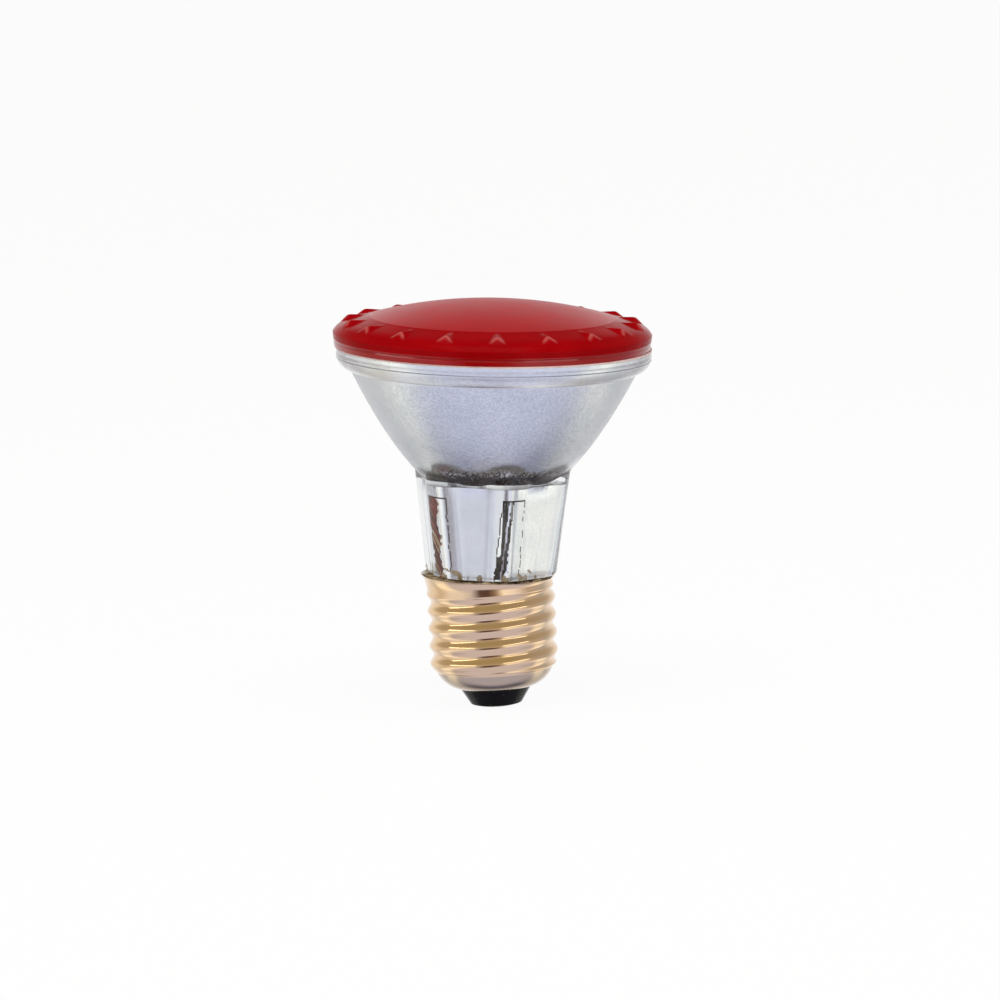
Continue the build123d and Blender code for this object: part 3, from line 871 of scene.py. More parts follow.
    def rim(self, skin: Skin) -> None:
        """Lay the rings of the rim: a rolled bead over the bowl, a round shoulder and a lined band.

        Args:
            skin: The skin that takes them.
        """
        glass = ReflectorFinish.GLASS
        foot = (self.bowl_mouth_r, self.bowl_mouth)
        top = (self.rim_r, self.bowl_mouth + self.rim_shoulder_height)
        for rise, step in self.rim_bead:
            skin.ring(foot[0] + step, foot[1] + rise, glass, self.rim_satin)
        for share in np.linspace(0.1, 1.0, 13):
            radius, height = bulged(foot, top, self.rim_shoulder_bulge, share)
            skin.ring(radius, height, glass, self.rim_satin)
        for rise in np.linspace(0.04, self.rim_band_height - self.rim_chamfer, 26):
            line = self.line_depth * math.cos(rise * 2 * math.pi / self.line_pitch) - self.line_depth
            line -= self.dip_depth * math.exp(-(((rise - self.dip_height) / self.dip_width) ** 2))
            skin.ring(self.rim_r + line, top[1] + rise, glass, self.rim_satin)
        skin.ring(self.rim_r - self.rim_chamfer, self.rim_top, glass, self.rim_top_satin)

    def inside(self, skin: Skin) -> None:
        """Lay the rings of the inner face, from the rim's top down through the cavity to the stem's foot.

        Args:
            skin: The skin that takes them.
        """
        turns, mirror = skin.turns, ReflectorFinish.MIRROR
        floor = self.mirror_vertex + self.floor_rise
        floor_r = math.sqrt(4 * self.mirror_focal * self.floor_rise)
        chance = np.random.default_rng(self.speck_seed)
        for radius in np.linspace(self.mirror_mouth_r, floor_r, 64):
            height = self.mirror_vertex + radius**2 / (4 * self.mirror_focal)
            # Painted shade: dark specks gather into a band round the mirror's floor, fewer again near the hole.
            share = np.clip((self.shade_band_r - radius) / self.shade_band_run, 0.0, 1.0)
            share *= 1 - self.shade_spared_share * np.clip((self.shade_spared_r - radius) / self.shade_spared_run, 0.0, 1.0)
            shade_specks = chance.random(skin.sides) < self.shade_band_most * share
            skin.ring(radius, height, np.where(shade_specks, ReflectorFinish.BURNT_AND_SHADE, mirror))
        skin.finishes[-1] = np.full(skin.sides, mirror)
        skin.ring(self.capsule_hole_r, floor, mirror)
        skin.ring(self.capsule_hole_r, self.head_height, mirror)
        for height in np.linspace(self.head_height, self.foot_height, 60):
            share = (height - self.foot_height) / (self.head_height - self.foot_height)
            flat = self.foot_flat + (self.head_flat - self.foot_flat) * share
            skin.ring(self.hexagon(turns, flat, self.cavity_corner_r), height, self.film(skin, height))
        for share in np.linspace(0.1, 1.0, 8):
            flat = self.foot_flat + (self.bore_flat - self.foot_flat) * math.sin(share * math.pi / 2)
            height = self.foot_height * (1 - share) ** 1.5
            skin.ring(self.hexagon(turns, flat, self.cavity_corner_r), height, self.film(skin, height))
        for height in np.linspace(-1.0, -self.stem_length, 4):
            skin.ring(self.hexagon(turns, self.bore_flat, self.cavity_corner_r), height)

    def film(self, skin: Skin, height: float) -> np.ndarray:
        """Mask the mirror film on the cavity's wall below a height.

        Args:
            skin: The skin whose faces are masked.
            height: Height of the faces' upper edge.

        Returns:
            The finish of each face: mirror, the windows at the corners, and the ragged cement at the foot.
        """
        middles = skin.turns + math.pi / skin.sides
        corner = np.round((middles - math.radians(self.neck_turn_deg)) / SIXTH).astype(int) % 6
        off = np.degrees(self.from_corner(middles)) - np.array(self.window_turn_deg)[corner]
        finish = np.full(skin.sides, ReflectorFinish.MIRROR)
        if height <= self.window_top:
            finish = self.window(finish, corner, off, height)
        lumps = self.lump_height + wander(middles, self.lump_waves)
        gaps = np.sin(self.gap_count * middles + self.gap_slant * height) > self.gap_level
        cement = np.where(gaps, ReflectorFinish.MIRROR, ReflectorFinish.CEMENT)
        return np.where(height < lumps, cement, finish)

    def window(self, finish: np.ndarray, corner: np.ndarray, off: np.ndarray, height: float) -> np.ndarray:
        """Cut the windows at the corners out of the film along one row of faces.

        Args:
            finish: The finish of each face so far.
            corner: The number of the corner that each face is nearest to.
            off: How far each face lies from the middle of that corner's window, in degrees.
            height: Height of the faces' upper edge.

        Returns:
            The finish of each face, with clear glass, burnt edges, varnish and scratched film.
        """
        half = np.array(self.window_deg)[corner]
        fall = 1 - height / self.window_top
        ragged = wander(height, self.edge_waves)
        scratched = corner == self.scratched_corner
        slant = np.where(scratched, self.window_slant_deg * fall, 0.0)
        inside = np.minimum(off + half + slant + ragged, half - off - ragged)
        inside = np.where(np.isin(corner, self.window_corners), inside, -1.0)
        within, clear = inside > 0, inside > self.edge_deg
        slow, quick = self.flake_paces
        flaked = wander(height, ((1.0, slow, 2 * np.sign(off)), (1.0, quick, 0.0))) <= self.flake_level
        finish = np.where(within, ReflectorFinish.BURNT_AND_SHADE, finish)
        finish = np.where(clear | (within & flaked), ReflectorFinish.GLASS, finish)

        strip = clear & (corner == self.varnish_corner)
        crust = self.crust_deg + wander(height, self.crust_waves)
        varnish = strip & (off < crust)
        patch = wander(height, ((1.0, 0.8, 0.25 * off + 2.6), (0.6, 2.9, 0.9 * off)))
        pale = varnish & (height < self.pale_height) & (patch > self.pale_level)
        finish = np.where(varnish, ReflectorFinish.VARNISH, finish)
        finish = np.where(pale, ReflectorFinish.CEMENT, finish)
        finish = np.where(varnish & (patch < self.dark_level), ReflectorFinish.BURNT_AND_SHADE, finish)
        finish = np.where(strip & (off > crust + self.crust_gap_deg), ReflectorFinish.MIRROR, finish)

        scratch = off + self.scratch_deg + self.scratch_slant_deg * fall + wander(height, self.scratch_waves)
        sliver = np.abs(scratch + self.sliver_deg - self.sliver_slant * height) < self.sliver_half_deg
        kept = scratched & (inside > self.scratch_inset_deg)
        finish = np.where(kept & (scratch > 0), ReflectorFinish.MIRROR, finish)
        finish = np.where(kept & (np.abs(scratch) < self.scratch_half_deg), ReflectorFinish.BURNT_AND_SHADE, finish)
        finish = np.where(kept & sliver, ReflectorFinish.MIRROR, finish)
        if height > self.window_top - self.window_head:
            finish = np.where(within, ReflectorFinish.BURNT_AND_SHADE, finish)
        return finish

    def build(self, finishes: list[Finish]) -> bpy.types.Object:
        """Make the reflector.

        Args:
            finishes: Its finishes, in the order of ReflectorFinish.

        Returns:
            The piece that stands for the CAD reflector.
        """
        skin = Skin(self.sides)
        self.outside(skin)
        self.inside(skin)
        piece = skin.build("reflector_glass", self.seat.place(), closed=True)
        for finish in finishes:
            piece.data.materials.append(finish.material())
        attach(piece, BODY)
        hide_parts("reflector")
        return piece


class LensFinish(IntEnum):
    """Material slots of the lens."""

    BODY = 0
    DOME = 1
    EDGE = 2


@dataclass
class FrontLens:
    """Red domed lens with a sloped shoulder that carries a ring of wedge lugs, stippled on its inside."""

    reflector: Reflector
    sides: int = 576
    bond_t: float = 0.25
    shift: float = 0.35
    # How far the drawn faces lie inside the CAD lens, so that the lens keeps within its box.
    dome_inset: float = 0.03
    shoulder_inset: float = 0.06
    edge_inset: float = 0.02
    edge_r: float = 32.5
    edge_height: float = 2.9
    tuck: float = 0.3
    knuckle_inset: float = 2.2
    knuckle_height: float = 4.7
    shoulder_height: float = 6.1
    slope_share: float = 0.94
    roll_power: int = 8
    crease_r: float = 25.0
    dome_height: float = 3.3
    thickness: float = 3.4
    # Wedge lugs on the shoulder, with a pale pink painted highlight along their front edges.
    lug_count: int = 18
    lug_turn_deg: float = 1.45
    lug_ridge_r: float = 29.9
    lug_height: float = 5.85
    lug_drop: float = 2.6
    lug_half_width: float = 2.9
    lug_face_run: float = 2.15
    lug_edge_r: float = 0.4
    lug_ridge_round: float = 0.4
    lug_foot_r: float = 0.1
    ridge_highlight_width: float = 0.75
    ridge_highlight_height: float = 0.4
    # Polished foot of the edge, with a groove whose upper side is steep.
    polish_height: float = 1.7
    groove_height: float = 1.25
    groove_depth: float = 0.19
    groove_width: float = 0.4
    groove_lip: float = 0.12
    stipple_pitch: float = 3.2
    stipple_depth: float = 0.22

    def dome(self, r: float, rim_r: float) -> float:
        """Return how far a dome with that rim radius stands over its rim at a radius."""
        ball = (rim_r**2 + self.dome_height**2) / (2 * self.dome_height)
        return math.sqrt(ball**2 - r**2) - (ball - self.dome_height)

    def shoulder(self, r: float) -> float:
        """Find the height of the shoulder, which slopes gently and then rolls over to the edge.

        Args:
            r: The radius.

        Returns:
            The height there.
        """
        out = (r - self.crease_r) / (self.edge_r - self.crease_r)
        at_knuckle = 1 - self.knuckle_inset / (self.edge_r - self.crease_r)
        slope = (self.shoulder_height - self.knuckle_height) * self.slope_share / at_knuckle
        roll = (self.shoulder_height - self.edge_height - slope) * out**self.roll_power
        return self.shoulder_height - slope * out - roll

    def lugs(self, turns: np.ndarray, r: float) -> tuple[np.ndarray, np.ndarray]:
        """Shape the wedge lugs along a circle.

        Args:
            turns: Angles of the circle's points in radians.
            r: Radius of the circle.

        Returns:
            The height of the lugs' faces at each point, and how near it is to a lug's front edges, from 0 to 1.
        """
        step = 2 * math.pi / self.lug_count
        off = (turns - math.radians(self.lug_turn_deg - 90) + step / 2) % step - step / 2
        across = np.sqrt((r * np.sin(off)) ** 2 + self.lug_ridge_round**2) - self.lug_ridge_round
        side = self.lug_height - across * self.lug_drop / self.lug_half_width
        front = self.lug_height - (r * np.cos(off) - self.lug_ridge_r) * self.lug_drop / self.lug_face_run
        near = np.clip(1 - np.abs(side - front) / self.ridge_highlight_width, 0.0, 1.0)
        return -smooth_max(-side, -front, self.lug_edge_r), near

    def stipple(self, x: np.ndarray, y: np.ndarray) -> np.ndarray:
        """Shape the small lenses pressed into the inside, laid out as a honeycomb.

        Args:
            x: Where the points lie along x.
            y: Where the points lie along y.

        Returns:
            The height of the lenses at each point.
        """
        pitch = self.stipple_pitch
        row = pitch * math.sqrt(3)
        nearest = np.full_like(x, np.inf)
        for shift_x, shift_y in ((0.0, 0.0), (pitch / 2, row / 2)):
            dx = (x - shift_x + pitch / 2) % pitch - pitch / 2
            dy = (y - shift_y + row / 2) % row - row / 2
            nearest = np.minimum(nearest, dx**2 + dy**2)
        return self.stipple_depth * (1 - nearest * 3 / pitch**2)

    def outside(self, skin: Skin, base: float) -> None:
        """Lay the rings of the outer face, from the top of the dome down to the edge's foot.

        Args:
            skin: The skin that takes them.
            base: Height of the lens's foot.
        """
        for r in np.linspace(0.6, self.crease_r, 28):
            height = base + self.shoulder_height + self.dome(r, self.crease_r) - self.dome_inset
            skin.ring(r, height, LensFinish.DOME, -((r / self.crease_r) ** 3))
        skin.finishes[-1] = np.full(self.sides, LensFinish.BODY)
        run = self.edge_r - self.edge_inset - self.crease_r
        for r in self.crease_r + run * np.linspace(0.02, 1.0, 56) ** 0.8:
            plain = np.full(self.sides, self.shoulder(r))
            lugs, near = self.lugs(skin.turns, r)
            # Painted highlight along the lugs' front edges, where their ridges catch the light.
            ridge_highlight = near * np.clip((lugs - plain) / self.ridge_highlight_height, 0.0, 1.0)
            height = base + smooth_max(plain, lugs, self.lug_foot_r) - self.shoulder_inset
            skin.ring(r, height, LensFinish.BODY, ridge_highlight)
        for share in np.linspace(0.04, 1.0, 44):
            height = (self.edge_height - self.shoulder_inset) * (1 - share)
            width = self.groove_width if height < self.groove_height else self.groove_lip
            groove = self.groove_depth * max(1 - abs((height - self.groove_height) / width), 0.0)
            finish = LensFinish.EDGE if height < self.polish_height else LensFinish.BODY
            skin.ring(self.edge_r - self.tuck * share - groove, base + height, finish)

    def inside(self, skin: Skin, base: float) -> None:
        """Lay the rings of the inner face, from the mirror's mouth up to the middle.

        Args:
            skin: The skin that takes them.
            base: Height of the lens's foot.
        """
        mouth = self.reflector.mirror_mouth_r
        inner_r = self.crease_r - self.thickness / 2
        inner_z = base + self.shoulder_height - self.thickness
        skin.ring(mouth, base, LensFinish.BODY)
        for share in np.linspace(0.15, 0.9, 6):
            skin.ring(mouth + (inner_r - mouth) * share, base + (inner_z - base) * share, LensFinish.BODY)
        for r in np.linspace(inner_r, 0.5, 46):
            fade = min(1.0, inner_r - r)
            bumps = self.stipple(r * np.cos(skin.turns), r * np.sin(skin.turns)) * fade
            skin.ring(r, inner_z + self.dome(r, inner_r) - bumps, LensFinish.DOME)

    def build(self, finishes: list[RedGlass]) -> bpy.types.Object:
        """Make the lens.

        Args:
            finishes: Its finishes, in the order of LensFinish.

        Returns:
            The piece that stands for the CAD lens.
        """
        base = self.reflector.rim_top + self.bond_t
        skin = Skin(self.sides)
        self.outside(skin, base)
        self.inside(skin, base)
        place = self.reflector.seat.place() @ Matrix.Translation((-self.shift, 0, 0))
        piece = skin.build("red_lens", place, closed=False, crease_deg=30.0)
        for finish in finishes:
            piece.data.materials.append(finish.material())
        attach(piece, BODY)
        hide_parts("front_lens")
        return piece


@dataclass
class ScrewCap:
    """Rolled screw shell with its collar and flared lip."""

    seat: HeadSeat
    sides: int = 240
    wall: float = 0.3
    crest_r: float = 13.1
    depth: float = 0.8
    pitch: float = 3.62
    thread_bottom: float = 8.2
    thread_top: float = 23.5
    start_deg: float = 92.5
    # Side towards which the painted gold reflection on the thread's flanks is centred.
    gold_reflection_side_deg: float = -104.0
    bowl_bottom: float = 3.65
    bowl_top: float = 7.4
    bowl_foot_r: float = 7.3
    bowl_top_r: float = 11.9
    bowl_bulge: float = 0.75
    collar_bottom: float = 24.3
    collar_r: float = 12.9
    lip_r: float = 13.6
    lip_height: float = 26.8
    lip_shift: float = -0.5
    flare_power: float = 3.5

    def centre(self, height: float) -> Point:
        """Return where the thread's round section has its centre at a height."""
        turn = math.radians(self.start_deg) + 2 * math.pi * (height - self.thread_bottom) / self.pitch
        return self.depth / 2 * math.cos(turn), self.depth / 2 * math.sin(turn)

    def thread(self, skin: Skin, mean: float, height: float) -> None:
        """Lay one ring of the thread, whose lower flanks towards the front left show gold: bare brass under thin
        plating, and a painted warm reflection of the thread above.

        Args:
            skin: The skin that takes it.
            mean: Radius of the thread's round section.
            height: Height of the ring.
        """
        x, y = self.centre(height)
        # Painted reflection: gold on the lower flanks, strongest towards the front left, where the thread also
        # has thin plating.
        gold_thin_and_reflected_mask = np.clip(-np.sin(skin.turns - math.atan2(y, x)), 0.0, 1.0)
        gold_thin_and_reflected_mask *= np.clip(np.cos(skin.turns - math.radians(self.gold_reflection_side_deg)), 0.0, 1.0) ** 2
        skin.ring(mean, height, 0, gold_thin_and_reflected_mask, (x, y))

    def collar(self, skin: Skin, inset: float, share: float) -> None:
        """Lay one ring of the collar.

        Args:
            skin: The skin that takes it.
            inset: How far the face lies inside the outer one.
            share: 0 at the collar's foot and 1 at the lip, which lies square to the glass.
        """
        radius = self.collar_r + (self.lip_r - self.collar_r) * share**self.flare_power - inset
        lean = math.tan(math.radians(self.seat.lean_deg)) * share
        middle = self.collar_bottom + (self.lip_height - self.collar_bottom) * share
        skin.ring(radius, middle - lean * radius * np.cos(skin.turns), 0, 0.0, (self.lip_shift * share, 0.0))

    def face(self, inset: float) -> Skin:
        """Lay the rings of one face of the shell from its foot to its lip.

        Args:
            inset: How far the face lies inside the outer one.

        Returns:
            A skin that holds the rings.
        """
        skin = Skin(self.sides)
        mean = self.crest_r - self.depth / 2 - inset
        foot, top = (self.bowl_foot_r, self.bowl_bottom), (self.bowl_top_r, self.bowl_top)
        # Painted shade: the bowl's mark of -1 darkens it towards the greyer underside colour.
        for share in np.linspace(0.0, 1.0, 14):
            radius, height = bulged(foot, top, self.bowl_bulge, share)
            skin.ring(radius - inset, height, 0, -1.0)
        # The thread grows out of the bowl and runs out into the collar.
        runs = np.linspace(0.2, 0.8, 4)
        x, y = self.centre(self.thread_bottom)
        for share in runs:
            part = ease(share)
            radius = self.bowl_top_r - inset + (mean - self.bowl_top_r + inset) * part
            height = self.bowl_top + (self.thread_bottom - self.bowl_top) * share
            skin.ring(radius, height, 0, 0.0, (x * part, y * part))
        for height in np.linspace(self.thread_bottom, self.thread_top, 78):
            self.thread(skin, mean, height)
        x, y = self.centre(self.thread_top)
        for share in runs:
            part = ease(share)
            radius = mean + (self.collar_r - inset - mean) * part
            height = self.thread_top + (self.collar_bottom - self.thread_top) * share
            skin.ring(radius, height, 0, 0.0, (x * (1 - part), y * (1 - part)))
        for share in np.linspace(0.0, 1.0, 9):
            self.collar(skin, inset, share)
        return skin

    def build(self, metal: PlatedBrass) -> bpy.types.Object:
        """Make the shell.

        Args:
            metal: Its finish.

        Returns:
            The piece that stands for the CAD shell.
        """
        skin = self.face(0.0)
        inner = self.face(self.wall)
        skin.rings += inner.rings[::-1]
        skin.finishes += inner.finishes
        skin.marks += inner.marks
        piece = skin.build("screw_shell", Matrix.Identity(4), closed=True, crease_deg=50.0)
        piece.data.materials.append(metal.material())
        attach(piece, BODY)
        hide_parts("cap_shell")
        return piece


@dataclass
class LensBond:
    """Bead of adhesive that shows as a pale line between the rim and the lens."""

    reflector: Reflector
    sides: int = 288
    thickness: float = 0.25
    overlap: float = 0.4
    outer_r: float = 32.12

    def build(self, adhesive: Finish) -> bpy.types.Object:
        """Make the bead.

        Args:
            adhesive: Its finish.

        Returns:
            The piece that stands for the CAD bead.
        """
        skin = Skin(self.sides)
        bottom = self.reflector.rim_top
        inner_r = self.reflector.mirror_mouth_r
        profile = ((self.outer_r, -self.overlap), (self.outer_r, 1.0), (inner_r, 1.0), (inner_r, 0.0))
        for radius, share in profile:
            skin.ring(radius, bottom + share * self.thickness)
        piece = skin.build("adhesive_bead", self.reflector.seat.place(), closed=True)
        piece.data.materials.append(adhesive.material())
        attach(piece, BODY)
        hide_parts("lens_bond")
        return piece


@dataclass
class BasingCement:
    """Ring of cement that swells in lumps between the stem and the lip of the shell."""

    reflector: Reflector
    sides: int = 360
    bottom: float = -2.0
    top: float = -0.45
    lump: float = 0.22
    lump_waves: Waves = ((1.0, 7, 0.0), (0.8, 19, 1.0), (0.6, 43, 2.0))
    crown_span: Point = (0.15, 0.75)
    clearance: float = 0.02
    taper: float = 0.2
    outer_r: float = 12.9
    shift: float = -0.6

    def build(self, cement: Finish) -> bpy.types.Object:
        """Make the ring.

        Args:
            cement: Its finish.

        Returns:
            The piece that stands for the CAD cement.
        """
        skin = Skin(self.sides)
        stem = self.reflector.stem_r + self.clearance
        swell = wander(skin.turns, self.lump_waves)
        start, run = self.crown_span
        for share in np.linspace(0.0, 1.0, 9):
            radius = stem + (self.outer_r - stem) * share
            crown = self.top + self.lump * swell * math.sin(math.pi * (start + run * share))
            skin.ring(radius, crown, 0, 0.0, (self.shift * share, 0.0))
        skin.ring(self.outer_r - self.taper, self.bottom, 0, 0.0, (self.shift, 0.0))
        skin.ring(stem, self.bottom)
        piece = skin.build("lumpy_cement", self.reflector.seat.place(), closed=True)
        piece.data.materials.append(cement.material())
        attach(piece, BODY)
        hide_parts("basing_cement")
        return piece


@dataclass
class Fittings:
    """The CAD nodes that keep their shape and only take a finish."""

    finishes: dict[str, Finish] = field(
        default_factory=lambda: {
            "cap_insulator": BlackVitrite(),
            "centre_contact": CONTACT,
            "centre_solder": SOLDER,
            "side_solder": SOLDER,
            "capsule_cement": CEMENT,
            "capsule": FusedSilica(),
            "filament": TUNGSTEN,
            "foil_left": MOLYBDENUM,
            "foil_right": MOLYBDENUM,
            "pin_left": MOLYBDENUM,
            "pin_right": MOLYBDENUM,
            "lead_side_upper": NICKEL,
            "lead_side_lower": NICKEL,
            "lead_centre": NICKEL,
            "fuse_link": NICKEL,
            "fuse_sleeve": SLEEVING,
        }
    )

    def dress(self, nodes: dict[str, bpy.types.Object]) -> None:
        """Give each node its finish.

        Args:
            nodes: The CAD objects by their names.
        """
        for name, finish in self.finishes.items():
            slots = nodes[name].data.materials
            slots.clear()
            slots.append(finish.material())
            LOG.info("dressed %s in %s", name, finish.name)


@dataclass(frozen=True)
class Panel:
    """A soft panel light that faces the lamp, placed in degrees from the camera's side, round to the right."""

    name: str
    azimuth_deg: float
    elevation_deg: float
    size: Point
    power: float
    colour: str
    mirrored: bool = True
    distance: float = 0.8
    aim_height: float = 0.04

    def hang(self) -> None:
        """Make the light and put it in the scene."""
        turn, lift = math.radians(self.azimuth_deg), math.radians(self.elevation_deg)
        away = Vector((math.sin(turn) * math.cos(lift), -math.cos(turn) * math.cos(lift), math.sin(lift)))
        data = bpy.data.lights.new(self.name, "AREA")
        data.shape = "RECTANGLE"
        data.size, data.size_y = self.size
        data.energy = self.power
        data.color = linear(self.colour)[:3]
        light = bpy.data.objects.new(self.name, data)
        facing = away.to_track_quat("Z", "Y").to_matrix().to_4x4()
        light.matrix_world = Matrix.Translation(Vector((0, 0, self.aim_height)) + away * self.distance) @ facing
        light.visible_glossy = self.mirrored
        bpy.context.scene.collection.objects.link(light)


@dataclass
class Studio:
    """Pale floor, white surround, soft panels and the camera."""

    distance_mm: float = 1550.0
    elevation_deg: float = 8.4
    roll_deg: float = 3.05
    pixels_per_mm: float = 4.897
    frame_px: float = 1000.0
    pivot_mm: float = 23.5
    pivot_px: Point = (490.6, 590.1)
    sensor_mm: float = 36.0
    floor_size: float = 6.0
    floor_white: float = 0.95
    paper: str = "#F2F2F2"
    # What the lamp mirrors of the room. The ground's stops run along underfoot, the belt's and the gap's go
    # round in degrees, and the rear's and the front's climb.
    underfoot: tuple[float, float, float] = (0.0, -0.39, -0.92)
    ground_level: float = 1.3
    ground_stops: Stops = (
        (-0.35, "#BFC0BF"),
        (-0.1, "#A3A7A3"),
        (0.05, "#9CA19D"),
        (0.2, "#B0B5B2"),
        (0.31, "#FFFFF4"),
        (0.49, "#FFFFF4"),
        (0.6, "#C8CAD6"),
        (0.8, "#C6C8DA"),
    )
    belt_level: float = 1.25
    belt_stops: Stops = (
        (-180, "#CCCCCC"),
        (-130, "#E3E1D6"),
        (-102, "#CCC5BA"),
        (-82, "#E7E7E7"),
        (-56, "#E7E7E4"),
        (-33, "#C9CDD6"),
        (9, "#D6D2CB"),
        (24, "#FFFFF6"),
        (44, "#F3F3F3"),
        (73, "#B8B0AA"),
        (115, "#ADB4BB"),
        (160, "#CCCCCC"),
    )
    gap_stops: Stops = ((-36, "#FFFFFF"), (-20, "#765F5A"), (-3, "#6F5853"), (9, "#AA998E"), (24, "#FFFFFF"))
    rear_stops: Stops = (
        (0.0, "#C0C0C0"),
        (0.25, "#A8A8A8"),
        (0.5, "#707070"),
        (0.75, "#646464"),
        (0.95, "#888888"),
    )
    front_stops: Stops = ((0.1, "#C8C4BE"), (0.35, "#C0BAB0"), (0.65, "#B4AEA4"), (0.92, "#A8A298"))
    shade: str = "#8C8C96"
    panels: tuple[Panel, ...] = (
        Panel("panel_left", -66, 28, (0.8, 0.12), 0.75, "#FFFDF8"),
        Panel("panel_right", 42, 28, (0.7, 0.12), 0.5, "#FFFDF8"),
        Panel("panel_top", 0, 72, (0.6, 0.5), 3.9, "#FFFFFF", mirrored=False),
    )

    def camera(self) -> None:
        """Stand the camera where the photograph was taken from."""
        lift = math.radians(self.elevation_deg)
        roll = math.radians(self.roll_deg)
        back = Vector((0, -math.cos(lift), math.sin(lift)))
        level = Vector((1, 0, 0))
        rise = Vector((0, math.sin(lift), math.cos(lift)))
        right = level * math.cos(roll) - rise * math.sin(roll)
        up = level * math.sin(roll) + rise * math.cos(roll)
        middle = self.frame_px / 2
        aim = Vector((0, 0, self.pivot_mm))
        aim += right * (middle - self.pivot_px[0]) / self.pixels_per_mm
        aim += up * (self.pivot_px[1] - middle) / self.pixels_per_mm
        data = bpy.data.cameras.new("camera")
        data.sensor_width = self.sensor_mm
        data.lens = self.sensor_mm * self.distance_mm * self.pixels_per_mm / self.frame_px
        data.clip_start, data.clip_end = 0.01, 20.0
        camera = bpy.data.objects.new("camera", data)
        turn = Matrix((right, up, back)).transposed()
        camera.matrix_world = Matrix.Translation((aim + back * self.distance_mm) * MM) @ turn.to_4x4()
        bpy.context.scene.collection.objects.link(camera)
        bpy.context.scene.camera = camera

    def floor(self) -> None:
        """Lay the pale floor, white to the camera but for the lamp's shadow."""
        half = self.floor_size / 2
        corners = [(-half, -half, 0), (half, -half, 0), (half, half, 0), (-half, half, 0)]
        mesh = bpy.data.meshes.new("floor")
        mesh.from_pydata(corners, [], [(0, 1, 2, 3)])
        floor = bpy.data.objects.new("floor", mesh)
        bpy.context.scene.collection.objects.link(floor)
        material = bpy.data.materials.new("pale_paper")
        material.use_nodes = True
        tree = material.node_tree
        tree.nodes.clear()
        path = add_node(tree, "ShaderNodeLightPath").outputs
        matt = add_node(tree, "ShaderNodeBsdfDiffuse", {"Color": linear(self.paper)}).outputs[0]
        white = add_node(tree, "ShaderNodeEmission", {"Color": (1, 1, 1, 1), "Strength": 1.0}).outputs[0]
        seen = {0: path["Is Camera Ray"], 1: self.floor_white}
        seen = add_node(tree, "ShaderNodeMath", seen, operation="MULTIPLY").outputs[0]
        mix = add_node(tree, "ShaderNodeMixShader", {0: seen, 1: matt, 2: white}).outputs[0]
        add_node(tree, "ShaderNodeOutputMaterial", {"Surface": mix})
        mesh.materials.append(material)
        floor.visible_glossy = False
        floor.visible_transmission = False

    def tones(self, tree: Tree, value: Socket, stops: Stops, reach: float = 1.0, level: float = 1.0) -> Socket:
        """Colour the surround along a value that runs from -1 to 1.

        Args:
            tree: The tree that takes the nodes.
            value: The value.
            stops: Each stop's place and hex colour, from low to high.
            reach: The place that stands for a value of 1.
            level: How bright the colours are taken.

        Returns:
            The colour.
        """
        share = add_node(tree, "ShaderNodeMapRange", {"Value": value, "From Min": -1.0, "From Max": 1.0})
        node = add_node(tree, "ShaderNodeValToRGB", {"Fac": share.outputs[0]})
        elements = node.color_ramp.elements
        while len(elements) < len(stops):
            elements.new(0.5)
        for element, (place, colour) in zip(elements, stops):
            element.position = (place / reach + 1) / 2
            element.color = linear(colour)
        lit = {0: node.outputs[0], "Scale": level}
        return add_node(tree, "ShaderNodeVectorMath", lit, operation="SCALE").outputs["Vector"]

    def zone(self, tree: Tree, *limits: tuple[Socket, float, float]) -> Socket:
        """Mark off a part of the surround with soft borders.

        Args:
            tree: The tree that takes the nodes.
            *limits: A value of the direction, where its border starts, and where it is fully inside.

        Returns:
            1 inside the part and 0 outside it.
        """
        inside: Socket | None = None
        for value, start, end in limits:
            border = {"Value": value, "From Min": start, "From Max": end}
            border = add_node(tree, "ShaderNodeMapRange", border).outputs[0]
            both = {0: border, 1: 1.0 if inside is None else inside}
            inside = add_node(tree, "ShaderNodeMath", both, operation="MULTIPLY").outputs[0]
        return inside

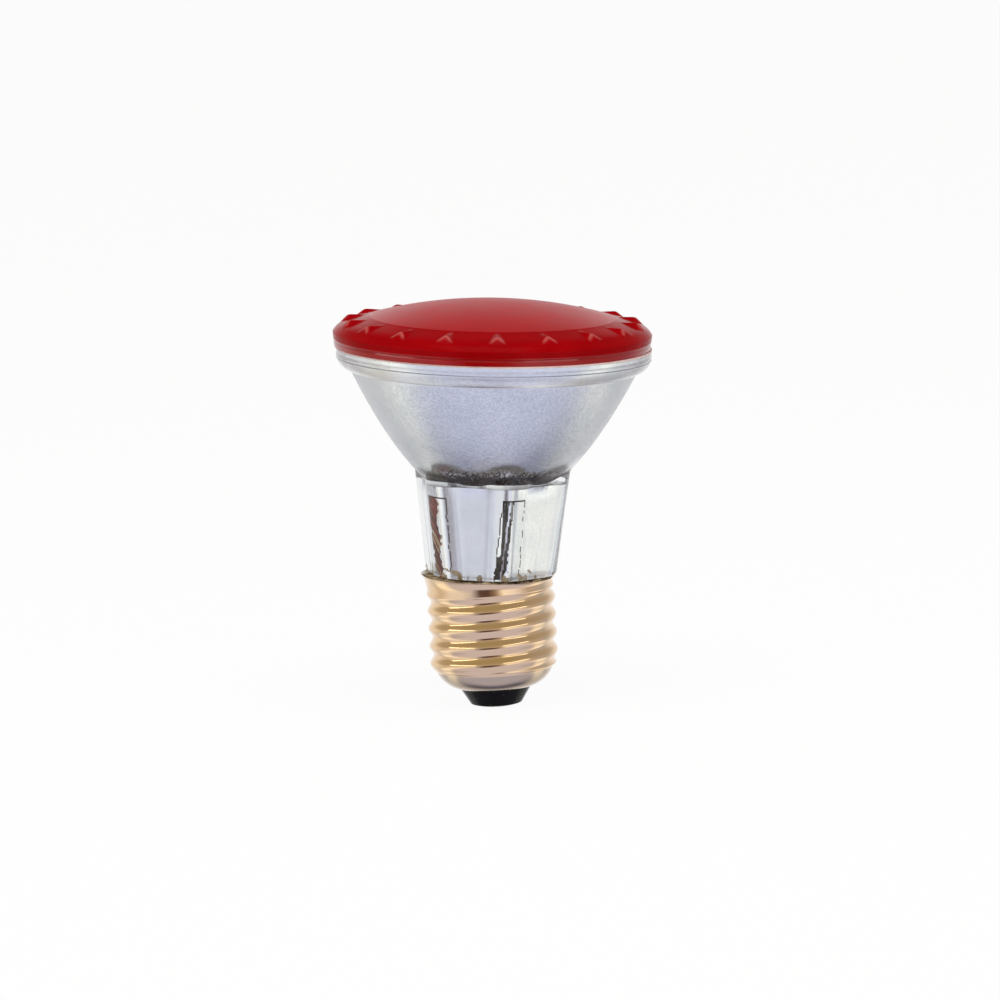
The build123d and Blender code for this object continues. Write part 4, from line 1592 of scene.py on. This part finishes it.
    def room(self, tree: Tree, way: Socket, axes: Any) -> Socket:
        """Colour the room that the lamp mirrors.

        Args:
            tree: The tree that takes the nodes.
            way: The direction.
            axes: Its parts along the axes.

        Returns:
            The room's colour in that direction.
        """
        x, y, z = (axes[name] for name in "XYZ")
        aside = add_node(tree, "ShaderNodeMath", {0: x}, operation="ABSOLUTE").outputs[0]
        ahead = add_node(tree, "ShaderNodeMath", {0: y, 1: -1.0}, operation="MULTIPLY").outputs[0]
        azimuth = add_node(tree, "ShaderNodeMath", {0: x, 1: ahead}, operation="ARCTAN2").outputs[0]
        azimuth = add_node(tree, "ShaderNodeMath", {0: azimuth, 1: math.pi}, operation="DIVIDE").outputs[0]
        down = add_node(tree, "ShaderNodeVectorMath", {0: way, 1: self.underfoot}, operation="DOT_PRODUCT")
        ground = self.tones(tree, down.outputs["Value"], self.ground_stops, level=self.ground_level)
        belt = self.tones(tree, azimuth, self.belt_stops, 180, self.belt_level)
        gap = self.tones(tree, azimuth, self.gap_stops, 180)
        behind = self.zone(tree, (y, -0.1, 0.25), (aside, 0.65, 0.35))
        sky = {0: behind, 6: self.tones(tree, z, self.front_stops), 7: self.tones(tree, z, self.rear_stops)}
        sky = add_node(tree, "ShaderNodeMix", sky, data_type="RGBA").outputs[2]
        colour = ground
        for where, tone, blend in (
            (self.zone(tree, (aside, 0.7, 0.3), (y, -0.05, 0.25)), linear(self.shade), "MULTIPLY"),
            (self.zone(tree, (z, -0.05, 0.05)), sky, "MIX"),
            (self.zone(tree, (z, -0.46, -0.34), (z, 0.34, 0.18)), belt, "MIX"),
            (self.zone(tree, (z, -0.62, -0.5), (z, 0.26, 0.12)), gap, "MULTIPLY"),
        ):
            layers = {0: where, 6: colour, 7: tone}
            colour = add_node(tree, "ShaderNodeMix", layers, data_type="RGBA", blend_type=blend).outputs[2]
        return colour

    def surround(self) -> None:
        """Make the white surround, with the room's grey above and in front for what the lamp mirrors."""
        world = bpy.data.worlds.new("surround")
        bpy.context.scene.world = world
        world.use_nodes = True
        tree = world.node_tree
        tree.nodes.clear()
        way = add_node(tree, "ShaderNodeTexCoord").outputs["Generated"]
        axes = add_node(tree, "ShaderNodeSeparateXYZ", {0: way}).outputs
        path = add_node(tree, "ShaderNodeLightPath").outputs
        rays = {0: path["Is Glossy Ray"], 1: path["Is Transmission Ray"]}
        rays = add_node(tree, "ShaderNodeMath", rays, operation="MAXIMUM").outputs[0]
        backdrop = {0: rays, 1: self.zone(tree, (axes["Y"], 0.4, 0.85), (axes["Z"], 0.45, 0.08))}
        backdrop = add_node(tree, "ShaderNodeMath", backdrop, operation="MULTIPLY").outputs[0]
        seen = {0: path["Is Camera Ray"], 1: backdrop}
        seen = add_node(tree, "ShaderNodeMath", seen, operation="MAXIMUM").outputs[0]
        room = {"Color": self.room(tree, way, axes), "Strength": 1.0}
        room = add_node(tree, "ShaderNodeBackground", room).outputs[0]
        white = add_node(tree, "ShaderNodeBackground", {"Color": (1, 1, 1, 1), "Strength": 1.0}).outputs[0]
        mix = add_node(tree, "ShaderNodeMixShader", {0: seen, 1: room, 2: white}).outputs[0]
        add_node(tree, "ShaderNodeOutputWorld", {"Surface": mix})

    def build(self) -> None:
        """Set the stage, the light and the camera."""
        self.camera()
        self.floor()
        self.surround()
        for panel in self.panels:
            panel.hang()
        bpy.context.scene.view_settings.view_transform = "Standard"
        # The glass head needs many bounces before light finds its way out.
        cycles = bpy.context.scene.cycles
        cycles.max_bounces = 24
        cycles.transmission_bounces = 20
        cycles.glossy_bounces = 12


def main() -> None:
    """Build the lamp's pieces in order and set the stage."""
    logging.basicConfig(level=logging.INFO, format="%(name)s: %(message)s")
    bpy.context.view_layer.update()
    seat = HeadSeat()
    reflector = Reflector(seat)
    for piece in (
        reflector.build([PressedGlass(), MIRROR, VARNISH, BURNT_AND_SHADE, CEMENT]),
        FrontLens(reflector).build([RedGlass(), RED_DOME, RED_EDGE]),
        LensBond(reflector).build(ADHESIVE),
        BasingCement(reflector).build(CEMENT),
        ScrewCap(seat).build(PlatedBrass()),
    ):
        LOG.info("built %s with %d faces", piece.name, len(piece.data.polygons))
    Fittings().dress(frame["nodes"])
    Studio().build()


if __name__ == "__main__":
    main()
